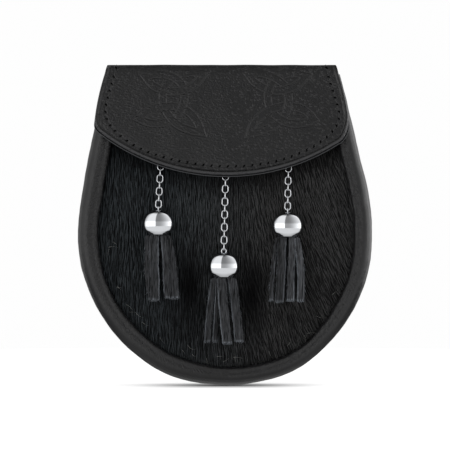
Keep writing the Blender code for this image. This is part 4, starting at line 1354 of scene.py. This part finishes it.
# %% Measures of chains, anchors and caps
LINK_LENGTH = 5.2 * MM
LINK_WIDTH = 3.6 * MM
LINK_WIRE = 0.8 * MM
ANCHOR_EYE = 1.9 * MM
ANCHOR_WIRE = 0.9 * MM
EYE_SUNK = 0.2 * MM
ANCHOR_PLATE = (4 * MM, 1 * MM)
CAP_EYE = 1.5 * MM
CAP_EYE_RISE = 0.9 * MM
CAP_SECTION = (  # mm: radius, height from the widest point, down the outside from the top to the mouth
    (0.0, 8.3), (2.6, 8.1), (5.2, 7.3), (7.6, 5.6), (9.2, 3.1), (9.9, 0.3), (9.8, -2.4), (9.1, -4.5),
    (7.8, -5.9), (6.1, -7.2),
)  # fmt: skip
CAP_FLATNESS = 0.66
CAP_WALL = 0.8 * MM
CAP_LIP = 0.12 * MM
TASSELS = {  # mm: x at the chain's top, x and height of the cap's middle, then the number of links
    "left": (-40.2, -42.2, 104.0, 9),
    "center": (0.9, -0.4, 76.9, 14),
    "right": (41.0, 40.2, 102.7, 9),
}
cap_widest = max(radius for radius, _ in CAP_SECTION) * MM
cap_top, cap_mouth = CAP_SECTION[0][1] * MM, CAP_SECTION[-1][1] * MM


# %% Where each chain ends
def chain_ends(side):
    """The cap's middle and eye, the anchor's eye, and the middles of the first and the last link."""
    chain_x, cap_x, cap_height, links = TASSELS[side]
    chain_x, cap_x, cap_height = chain_x * MM, cap_x * MM, cap_height * MM
    cap = place(cap_x, cap_height, fur_depth(cap_x, cap_height) + GAP + cap_widest * CAP_FLATNESS)
    cap_eye = cap + [0, 0, cap_top + CAP_EYE_RISE]
    clearance = LINK_WIRE + GAP
    bottom = cap_eye + [0, 0, CAP_EYE - clearance]
    length = LINK_LENGTH + (LINK_LENGTH - clearance) * (links - 1)
    drop = np.array([0, 0, ANCHOR_EYE - (ANCHOR_WIRE + LINK_WIRE) / 2 - GAP])
    eye_height = bottom[2] - FLOOR + length
    for _ in range(4):
        fur_front = fur_depth(chain_x, eye_height)
        eye = place(chain_x, eye_height, fur_front + GAP + ANCHOR_PLATE[1] + ANCHOR_EYE - EYE_SUNK)
        top = eye - drop
        sideways = math.hypot(top[0] - bottom[0], top[1] - bottom[1])
        eye_height = bottom[2] - FLOOR + math.sqrt(length**2 - sideways**2) + drop[2]
    half = unit(top - bottom) * LINK_LENGTH / 2
    return cap, cap_eye, eye, fur_front, top - half, bottom + half


# %% Chains and anchors
def make_chain(side):
    links = TASSELS[side][3]
    _, _, eye, fur_front, first_link, last_link = chain_ends(side)
    along = unit(first_link - last_link)
    forward = unit(np.cross(along, (1.0, 0, 0)))
    across = np.cross(forward, along)
    link = wire_ring(LINK_LENGTH, LINK_WIDTH, LINK_WIRE, 28, 12)
    parts = []
    for number in range(links):
        turn = axes(across, along) if number % 2 == 0 else axes(forward, along)
        parts.append(moved(link, mix(first_link, last_link, number / (links - 1)), turn))
    nodes = [f"chain_link_{side}_{number + 1:02d}" for number in range(links)]
    make_piece("chain_" + side, parts, chrome, nodes)
    radius, thickness = ANCHOR_PLATE
    profile = [(0, 0), (radius, 0), (radius, thickness * 0.7), (radius * 0.93, thickness), (0, thickness)]
    points, faces = turned(profile, 40, (0, 0, 0))
    points = points[:, [0, 2, 1]] * [1, -1, 1]
    plate = (points + place(eye[0], eye[2] - FLOOR, fur_front + GAP), faces)
    ring = moved(wire_ring(2 * ANCHOR_EYE, 2 * ANCHOR_EYE, ANCHOR_WIRE, 36, 12), eye,
                 axes((0, 1, 0), (0, 0, 1)))
    make_piece("chain_hook_" + side, [plate, ring], chrome, ["chain_anchor_" + side], sharp=50)


# %% Caps
def make_cap(side):
    cap, cap_eye, *_ = chain_ends(side)
    outside = through(np.array(CAP_SECTION) * MM, 0.3 * MM)
    outside[0, 0] = 0
    mouth = outside[-1, 0]
    lip = np.array([[mouth - share * CAP_WALL, cap_mouth - CAP_LIP] for share in (0.2, 0.8)])
    within = outside[::-2] * [1 - CAP_WALL / cap_widest, 1 - CAP_WALL / cap_top]
    within[0] = mouth - CAP_WALL, cap_mouth
    points, faces = turned(np.vstack([outside, lip, within]), 96, (0, 0, 0))
    shell = (points * [1, CAP_FLATNESS, 1] + cap, faces)
    even = TASSELS[side][3] % 2 == 0
    eye = moved(wire_ring(2 * CAP_EYE, 2 * CAP_EYE, LINK_WIRE, 32, 12), cap_eye,
                axes((1, 0, 0) if even else (0, 1, 0), (0, 0, 1)))
    make_piece("tassel_cap_chrome_" + side, [shell, eye], chrome, ["tassel_cap_" + side])


for side in TASSELS:
    make_chain(side)
    make_cap(side)

# %% [markdown]
# ## Fringes
#
# Each tassel ends in strips of charcoal leather with raw cut edges and a streaky nap that runs down
# them. The knife leaves the edges lighter, and the ends fray. Cloth simulation could hang them, but the
# strips are stiff and each hangs in its own known way, so every strip is a flat tube that is led through
# three measured places. It has rough edges and a slight curl, and it turns towards its end, so one cut
# edge comes to the front and catches the light; that edge is painted lighter than the hidden one, as a
# painted highlight. Strips are painted lighter where they face the light and darker at the back, as
# painted light and shade. The loose fibres are strands.

# %% Raw cut leather
STREAK = 1.0 * MM
FINE_STREAK = STREAK / 2.6
STREAK_STRETCH = 0.06
fringe_leather, tree, shader = new_material("charcoal leather, raw cut", Roughness=0.9,
                                            Specular_IOR_Level=0.2)
long_way = add_node(tree, "Mapping", {"Vector": add_node(tree, "TexCoord", {}, "Object"),
                                      "Scale": (1, 1, STREAK_STRETCH)})
streaks, fibres = (add_node(tree, "TexNoise", {"Vector": long_way, "Scale": 1 / width, "Roughness": 0.6})
                   for width in (STREAK, FINE_STREAK))
nap = add_node(tree, "Mix", {0: 0.6, 2: streaks, 3: fibres})
nap_tint = add_node(tree, "MapRange", {"Value": nap, "From Min": 0.38, "From Max": 0.62, "To Max": 2.15})
raw, strip_painted_light = (add_node(tree, "Attribute", {}, "Fac", attribute_name=name)
                   for name in ("raw", "strip_painted_light"))
cut_colour = add_node(tree, "Mix", {0: raw, 6: linear("#2a2b2d"), 7: linear("#585c61")}, 2,
                      data_type="RGBA")
toned = add_node(tree, "Math", {0: nap_tint, 1: strip_painted_light}, operation="MULTIPLY")
fringe_colour = add_node(tree, "VectorMath", {0: cut_colour, "Scale": toned}, operation="SCALE")
nap_bump = add_node(tree, "Bump", {"Height": nap, "Distance": 0.5 * MM})
set_inputs(shader, {"Base Color": fringe_colour, "Normal": nap_bump})

# %% How the strips hang
STRIP_THICKNESS = 1.3 * MM
STRIP_LAYER = 1.6 * MM
MIDDLE_LAYER = 1.5
FRINGE_HEAD = (5 * MM, 5 * MM)
HEAD_RISE = 0.6 * MM
STRIP_ROOT = (  # inside the cap: mm below its mouth, share of the upper x, of the width and of the layer
    (-3.0, 0.40, 0.55, 0.70), (0.0, 0.50, 0.62, 0.78),
)  # fmt: skip
STRIP_COURSE = (  # below the cap: share of the length, share of the width, share of the layer
    (0.03, 0.96, 1.10), (0.2, 1.0, 1.25), (0.4, 1.0, 1.35), (0.6, 1.0, 1.45), (0.8, 1.0, 1.5),
    (1.0, 1.0, 1.6),
)  # fmt: skip
STRIPS = {  # mm: x under the cap, halfway and at the end, width, length, layer from front (0) to back (3)
    "left": (
        (-5.5, -6.3, -4.2, 4.6, 41.6, 1), (-2.4, -2.3, -2.0, 6.2, 41.7, 0), (3.2, 5.1, 6.0, 4.4, 40.4, 0),
        (4.6, 8.7, 10.2, 5.6, 40.6, 1), (-5.8, -5.6, -3.4, 4.8, 41.0, 2), (5.6, 9.6, 11.2, 4.8, 40.2, 2),
        (1.6, 4.6, 6.6, 5.0, 40.0, 3),
    ),
    "center": (
        (-6.0, -8.6, -11.0, 3.6, 41.3, 1), (-3.6, -4.5, -5.9, 3.2, 41.2, 1), (-1.6, 0.0, 2.0, 6.2, 42.2, 0),
        (4.9, 7.8, 9.7, 5.8, 41.2, 1), (-6.2, -8.6, -10.4, 4.6, 40.6, 2), (4.2, 7.0, 9.0, 5.0, 40.4, 2),
        (-0.5, 0.8, 2.6, 4.8, 41.0, 3),
    ),
    "right": (
        (-6.6, -9.5, -10.4, 2.4, 40.8, 1), (-3.4, -4.2, -5.0, 5.6, 41.7, 0), (2.9, 2.5, 2.0, 4.4, 40.8, 0),
        (5.2, 8.1, 7.9, 4.9, 41.2, 1), (-4.4, -5.0, -5.4, 4.8, 40.8, 2), (4.6, 6.2, 5.6, 4.6, 40.6, 2),
        (0.8, 1.4, 1.6, 4.8, 40.6, 3),
    ),
}  # fmt: skip
STRIP_TURNS = {  # how far each strip has turned its right edge forward at its end, in degrees
    "left": (4, 24, -24, -6, 4, -4, 0),
    "center": (-18, -24, -20, -22, 0, 0, 0),
    "right": (14, 22, 16, -26, 0, 0, 0),
}
# painted light: a strip that faces the light is painted lighter, and the strips at the back are painted
# darker, as painted shade
STRIP_PAINTED_LIGHT = {  # how light each strip is, where 1 is the usual tone
    "left": (1.0, 0.95, 1.0, 1.0, 0.6, 0.6, 0.6),
    "center": (0.95, 0.85, 1.1, 1.1, 0.6, 0.6, 0.6),
    "right": (0.9, 0.75, 1.35, 1.8, 0.6, 0.8, 0.6),
}


def strip_rows(upper, middle, lower, width, length):
    """(mm below the mouth, x, width, share of the layer) down one strip."""
    rows = [(drop, upper * inward, width * narrow, layer) for drop, inward, narrow, layer in STRIP_ROOT]
    for share, narrow, layer in STRIP_COURSE:
        rest = 1 - share
        x = upper * rest * (rest - share) + middle * 4 * share * rest - lower * share * (rest - share)
        rows.append((share * length, x, width * narrow, layer))
    return np.array(rows) * [MM, MM, MM, 1]


# %% One strip
STRIP_ROWS, FACE_POINTS = 84, 9
STRIP_BUMPS = {  # how long the unevenness is, and how much it moves the leather
    "sway": (11 * MM, 0.35 * MM), "edge": (0.8 * MM, 0.12 * MM), "width": (3 * MM, 0.14 * MM),
    "curl": (18 * MM, 0.3 * MM), "face": (2.5 * MM, 0.06 * MM), "end": (0.9 * MM, 0.3 * MM),
    "turn": (14 * MM, 5),
}  # fmt: skip
FACE_SHARE, EDGE_SHARE = 0.94, 0.55  # of half the width that is face, of half the thickness that is edge
# painted highlight: the edge turned forward is painted rawer and lighter than the hidden one
RAW_CORNER, RAW_HIDDEN, RAW_END = 0.35, 0.25, 0.55  # how raw, where 1 is the edge that is turned forward
RAW_REACH = (1.6 * MM, 0.4 * MM)
SWAY_REACH, TURN_REACH = 8 * MM, 14 * MM  # below the mouth, where it sways and has turned in full


def bumps(points, kind, seed):
    size, height = STRIP_BUMPS[kind]
    return uneven(points, size, seed) * height


def make_strip(mouth, course, layer, turn, chance):
    """One strip: rings of points down its length, and how raw each point is."""
    rows = strip_rows(*course)
    drop = np.linspace(rows[0, 0], rows[-1, 0], STRIP_ROWS)
    x, width, deepen = (np.interp(drop, rows[:, 0], rows[:, k]) for k in (1, 2, 3))
    seed = int(chance.integers(1000))
    down = np.stack([drop, 0 * drop], -1)
    x = x + bumps(down, "sway", seed) * smoothstep(0, SWAY_REACH, drop)
    y = (layer - MIDDLE_LAYER) * STRIP_LAYER * deepen
    half, thick = width / 2, STRIP_THICKNESS / 2
    face, flat_face = np.linspace(-FACE_SHARE, FACE_SHARE, FACE_POINTS), np.ones(FACE_POINTS)
    across = np.concatenate([face, [1, 1], face[::-1], [-1, -1]])
    over = np.concatenate([-flat_face, [-EDGE_SHARE, EDGE_SHARE], flat_face, [EDGE_SHARE, -EDGE_SHARE]])
    right, left = (1.0, RAW_HIDDEN) if turn > 0 else (RAW_HIDDEN, 1.0)
    smooth = np.zeros(FACE_POINTS - 2)
    right_corner, left_corner = RAW_CORNER * right, RAW_CORNER * left
    raw_and_highlight = np.concatenate([[left_corner], smooth, [right_corner, right, right, right_corner],
                             smooth, [left_corner, left, left]])
    flat = np.stack(np.broadcast_arrays(drop[:, None], across * 3 * MM), -1)
    rough = bumps(flat, "edge", seed) + bumps(flat, "width", seed + 1)
    dx = across * (half[:, None] + rough * np.abs(across) ** 6)
    curl = bumps(down, "curl", seed + 2)[:, None] * across**2
    dy = over * thick * 0.92 + curl + bumps(flat, "face", seed + 3)
    angle = np.radians(turn + bumps(down, "turn", seed + 5)) * smoothstep(0, TURN_REACH, drop)
    cosine, sine = np.cos(angle)[:, None], np.sin(angle)[:, None]
    dx, dy = dx * cosine + dy * sine, dy * cosine - dx * sine
    z = -drop[:, None] + 0 * dx
    z[-1] += bumps(np.stack([across * 3 * MM, over * MM], -1), "end", seed + 4)
    points = np.stack([x[:, None] + dx, y[:, None] + dy, z], -1) + mouth
    end = smoothstep(*(rows[-1, 0] - np.array(RAW_REACH)), drop)[:, None] * RAW_END
    raw_values = np.maximum(raw_and_highlight, end + 0 * dx)
    edges = points[:, [0, FACE_POINTS - 1]]
    return (points.reshape(-1, 3), tube_faces(len(drop), len(across))), raw_values.ravel(), edges


# %% Frayed edges and ends
FIBRES_BELOW, FIBRES_BESIDE = 54, 22
LENGTH_BELOW, LENGTH_BESIDE = (0.5, 1.7), (1.0, 3.0)  # mm
FIBRE_RADII = np.array([0.09, 0.08, 0.06, 0.02]) * MM  # thicker than real ones, so that they show


def frayed(edges, chance):
    """Loose fibres that stand out of a strip's two cut edges and hang from its end."""
    below, beside = FIBRES_BELOW, FIBRES_BESIDE
    left, right = edges[-1]
    ends = mix(left, right, chance.uniform(0, 1, (below, 1))) + [0, STRIP_THICKNESS / 2, 0.3 * MM]
    row = chance.integers(20, len(edges), beside)
    side = chance.integers(0, 2, beside)
    start = np.vstack([ends, edges[row, side] + [0, 0.3 * MM, 0]])
    count = below + beside
    out = np.concatenate([chance.normal(0, 0.35, below),
                          (2 * side - 1) * chance.uniform(0.1, 0.5, beside)])
    way = unit(np.stack([out, chance.normal(0, 0.2, count), -np.ones(count)], -1))
    length = np.concatenate([chance.uniform(*LENGTH_BELOW, below),
                             chance.uniform(*LENGTH_BESIDE, beside)]) * MM
    bend = np.stack([chance.normal(0, 0.3, count), chance.normal(0, 0.2, count), np.zeros(count)], -1) * MM
    share = np.linspace(0, 1, 4)[None, :, None]
    paths = start[:, None] + way[:, None] * length[:, None, None] * share + bend[:, None] * share**2
    return strands(paths, FIBRE_RADII, 3)


# %% Fringes
def make_fringe(side):
    mouth = chain_ends(side)[0] + [0, 0, cap_mouth]
    chance = np.random.default_rng(len(side))
    radius, height = FRINGE_HEAD
    profile = [(0, 0), (radius * 0.9, 0), (radius, 0.1 * radius), (radius, height), (0, height)]
    points, faces = turned(profile, 32, (0, 0, 0))
    head = (points * [1, CAP_FLATNESS, 1] + mouth + [0, 0, HEAD_RISE], faces)
    parts, rawness = [head], [np.zeros(len(head[0]))]
    tones = [np.full(len(head[0]), 0.5)]
    for (*course, layer), turn, tone in zip(STRIPS[side], STRIP_TURNS[side], STRIP_PAINTED_LIGHT[side]):
        strip, values, edges = make_strip(mouth, course, layer, turn, chance)
        loose = frayed(edges, chance)
        parts += [strip, loose]
        rawness += [values, np.full(len(loose[0]), 1.0)]
        tones += [np.full(len(strip[0]), tone), np.full(len(loose[0]), max(tone, 0.9))]
    make_piece("fringe_" + side, parts, fringe_leather, ["tassel_fringe_" + side],
               values={"raw": np.concatenate(rawness), "strip_painted_light": np.concatenate(tones)}, sharp=50)


for side in TASSELS:
    make_fringe(side)

# %% [markdown]
# ## Studio
#
# The pouch stands upright on a white light table in front of white paper, as worn. The camera is far
# away with a long lens, so that both sides look alike.

# %% Camera
FRAME_WIDTH = 288 * MM
CAMERA_DISTANCE = 2.0
CAMERA_HEIGHT = 102.7 * MM
SENSOR = 36.0
CAMERA_X, CAMERA_FRONT = 0.32 * MM, 30 * MM
camera_data = bpy.data.cameras.new("camera")
camera_data.sensor_width = SENSOR
camera_data.lens = SENSOR * CAMERA_DISTANCE / FRAME_WIDTH
camera_data.clip_end = 100
camera = bpy.data.objects.new("camera", camera_data)
camera.location = (CAMERA_X, -CAMERA_FRONT - CAMERA_DISTANCE, FLOOR + CAMERA_HEIGHT)
camera.rotation_euler = (math.pi / 2, 0, 0)
bpy.context.scene.collection.objects.link(camera)
bpy.context.scene.camera = camera
bpy.context.scene.view_settings.view_transform = "Standard"
print("the lens is", round(camera_data.lens), "mm, for a frame of", round(FRAME_WIDTH / MM), "mm")

# %% [markdown]
# ## The light table
#
# The table glows from below, but less where the pouch stands: that is a painted shadow, the soft shadow
# that we see under it. A lamp under glass would be the real thing and would be full of noise, so the
# glow is an emission that changes with the place. The glow that lights the pouch itself is painted
# light, set apart from the one that we see: it is strongest in front, fades under the pouch, and comes
# back far behind.

# %% Floor
FLOOR_REACH = 0.6
FLOOR_STEPS = 96
FLOOR_FORWARD = 20 * MM
SHADOW_PLACE, SHADOW_SHAPE = (0, 0.012, 0), (1.0, 1.7, 1.0)
# painted light: shadow is the painted shadow in the glow that the camera sees, near and far the painted
# bounce light that lights the pouch
TABLE_LIGHT = {  # name: input, m from and to, strength from and to
    "shadow": ("away", 0.0, 0.075, 0.0, 0.8),
    "near": ("rearward", -0.080, 0.045, 1.0, 0.10),
    "far": ("rearward", 0.15, 0.40, 0.0, 0.6),
}
acrylic, tree, shader = new_material("white acrylic light table", Roughness=0.9, Specular_IOR_Level=0.0,
                                     Emission_Color=(1, 1, 1, 1))
on_table = add_node(tree, "TexCoord", {}, "Object")
spot = add_node(tree, "Mapping", {"Vector": on_table, "Location": SHADOW_PLACE, "Scale": SHADOW_SHAPE})
reach = {"away": add_node(tree, "VectorMath", {0: spot}, "Value", operation="LENGTH"),
         "rearward": add_node(tree, "SeparateXYZ", {0: on_table}, "Y")}
light = {name: add_node(tree, "MapRange", {"Value": reach[along], "From Min": start, "From Max": end,
                                           "To Min": low, "To Max": high}, interpolation_type="SMOOTHSTEP")
         for name, (along, start, end, low, high) in TABLE_LIGHT.items()}
painted_bounce = add_node(tree, "Math", {0: light["near"], 1: light["far"]}, operation="ADD")
looked_at = add_node(tree, "LightPath", {}, "Is Camera Ray")
strength = add_node(tree, "Mix", {0: looked_at, 2: painted_bounce, 3: light["shadow"]})
table_colour = add_node(tree, "Mix", {0: looked_at, 6: linear("#000000"), 7: linear("#b8b8b8")}, 2,
                        data_type="RGBA")
set_inputs(shader, {"Base Color": table_colour, "Emission Strength": strength})
turn = round_turns(FLOOR_STEPS)
rim_points = np.stack([np.cos(turn), np.sin(turn), 0 * turn], -1) * FLOOR_REACH
floor_mesh = bpy.data.meshes.new("floor")
floor_mesh.from_pydata(rim_points.tolist(), [], [list(range(FLOOR_STEPS))])
floor_mesh.materials.append(acrylic)
floor = bpy.data.objects.new("floor", floor_mesh)
floor.location = (0, -(REAR + FLOOR_FORWARD), FLOOR)
bpy.context.scene.collection.objects.link(floor)
print("the floor is", 2 * FLOOR_REACH, "m across, at the pouch's lowest point")

# %% [markdown]
# ## The room
#
# A metal shows its room, so the room is part of its finish. Large soft boxes stand to the left and to
# the right, the side of the camera is dark, the rear is dimmer, and little comes from above, which is
# why the fold along the top is nearly black. Area lamps could do it, but painting the boxes into the
# world by direction is as soft and free of noise. Each row is one smooth change of light between two
# directions, and the sums join them into boxes.

# %% Room
ROOM = {  # which angle, degrees from and to, light from and to
    "left_front": ("azimuth", -11, -17, 0.0, 1.6),
    "left_middle": ("azimuth", -60, -95, 1.0, 0.4),
    "left_rear": ("azimuth", -95, -165, 1.0, 0.12),
    "right_front": ("azimuth", 0, 95, 0.0, 1.6),
    "right_rear": ("azimuth", 130, 165, 1.0, 0.0),
    "rear_left": ("azimuth", -70, -100, 1.0, 0.6),
    "rear_right": ("azimuth", 130, 165, 1.0, 0.6),
    "ceiling": ("elevation", 60, 84, 1.0, 0.2),
    "upper": ("elevation", 8, 18, 1.0, 0.58),
}
SUMS = (  # name, the two that it is made from, and how
    ("left_side", "left_front", "left_middle", "MULTIPLY"),
    ("left_box", "left_side", "left_rear", "MULTIPLY"),
    ("right_box", "right_front", "right_rear", "MULTIPLY"),
    ("boxes", "left_box", "right_box", "ADD"),
    ("rear", "rear_left", "rear_right", "MULTIPLY"),
    ("dim_rear", "rear", "half", "MULTIPLY"),
    ("level", "boxes", "dim_rear", "ADD"),
    ("lower", "level", "ceiling", "MULTIPLY"),
    ("glow", "lower", "upper", "MULTIPLY"),
)
PAPER_WHITE = 0.99
world = bpy.data.worlds.new("studio")
bpy.context.scene.world = world
world.use_nodes = True
tree = world.node_tree
direction = add_node(tree, "TexCoord", {}, "Generated")
right, rear, up = (add_node(tree, "SeparateXYZ", {0: direction}, out) for out in "XYZ")
toward = add_node(tree, "Math", {0: rear, 1: -1.0}, operation="MULTIPLY")
angles = {"azimuth": add_node(tree, "Math", {0: right, 1: toward}, operation="ARCTAN2"),
          "elevation": add_node(tree, "Math", {0: up}, operation="ARCSINE")}
light = {"half": 0.5}
for name, (angle, start, end, low, high) in ROOM.items():
    light[name] = add_node(tree, "MapRange", {"Value": angles[angle], "From Min": math.radians(start),
                                              "From Max": math.radians(end), "To Min": low, "To Max": high},
                           interpolation_type="SMOOTHSTEP")
for name, first, second, operation in SUMS:
    light[name] = add_node(tree, "Math", {0: light[first], 1: light[second]}, operation=operation)
room, paper = (add_node(tree, "Background", {"Color": (1, 1, 1, 1), "Strength": strength})
               for strength in (light["glow"], PAPER_WHITE))
seen = add_node(tree, "LightPath", {}, "Is Camera Ray")
both = add_node(tree, "MixShader", {0: seen, 1: room, 2: paper})
set_inputs(tree.nodes["World Output"], {"Surface": both})
print("the room is painted from", len(ROOM), "soft changes of light")
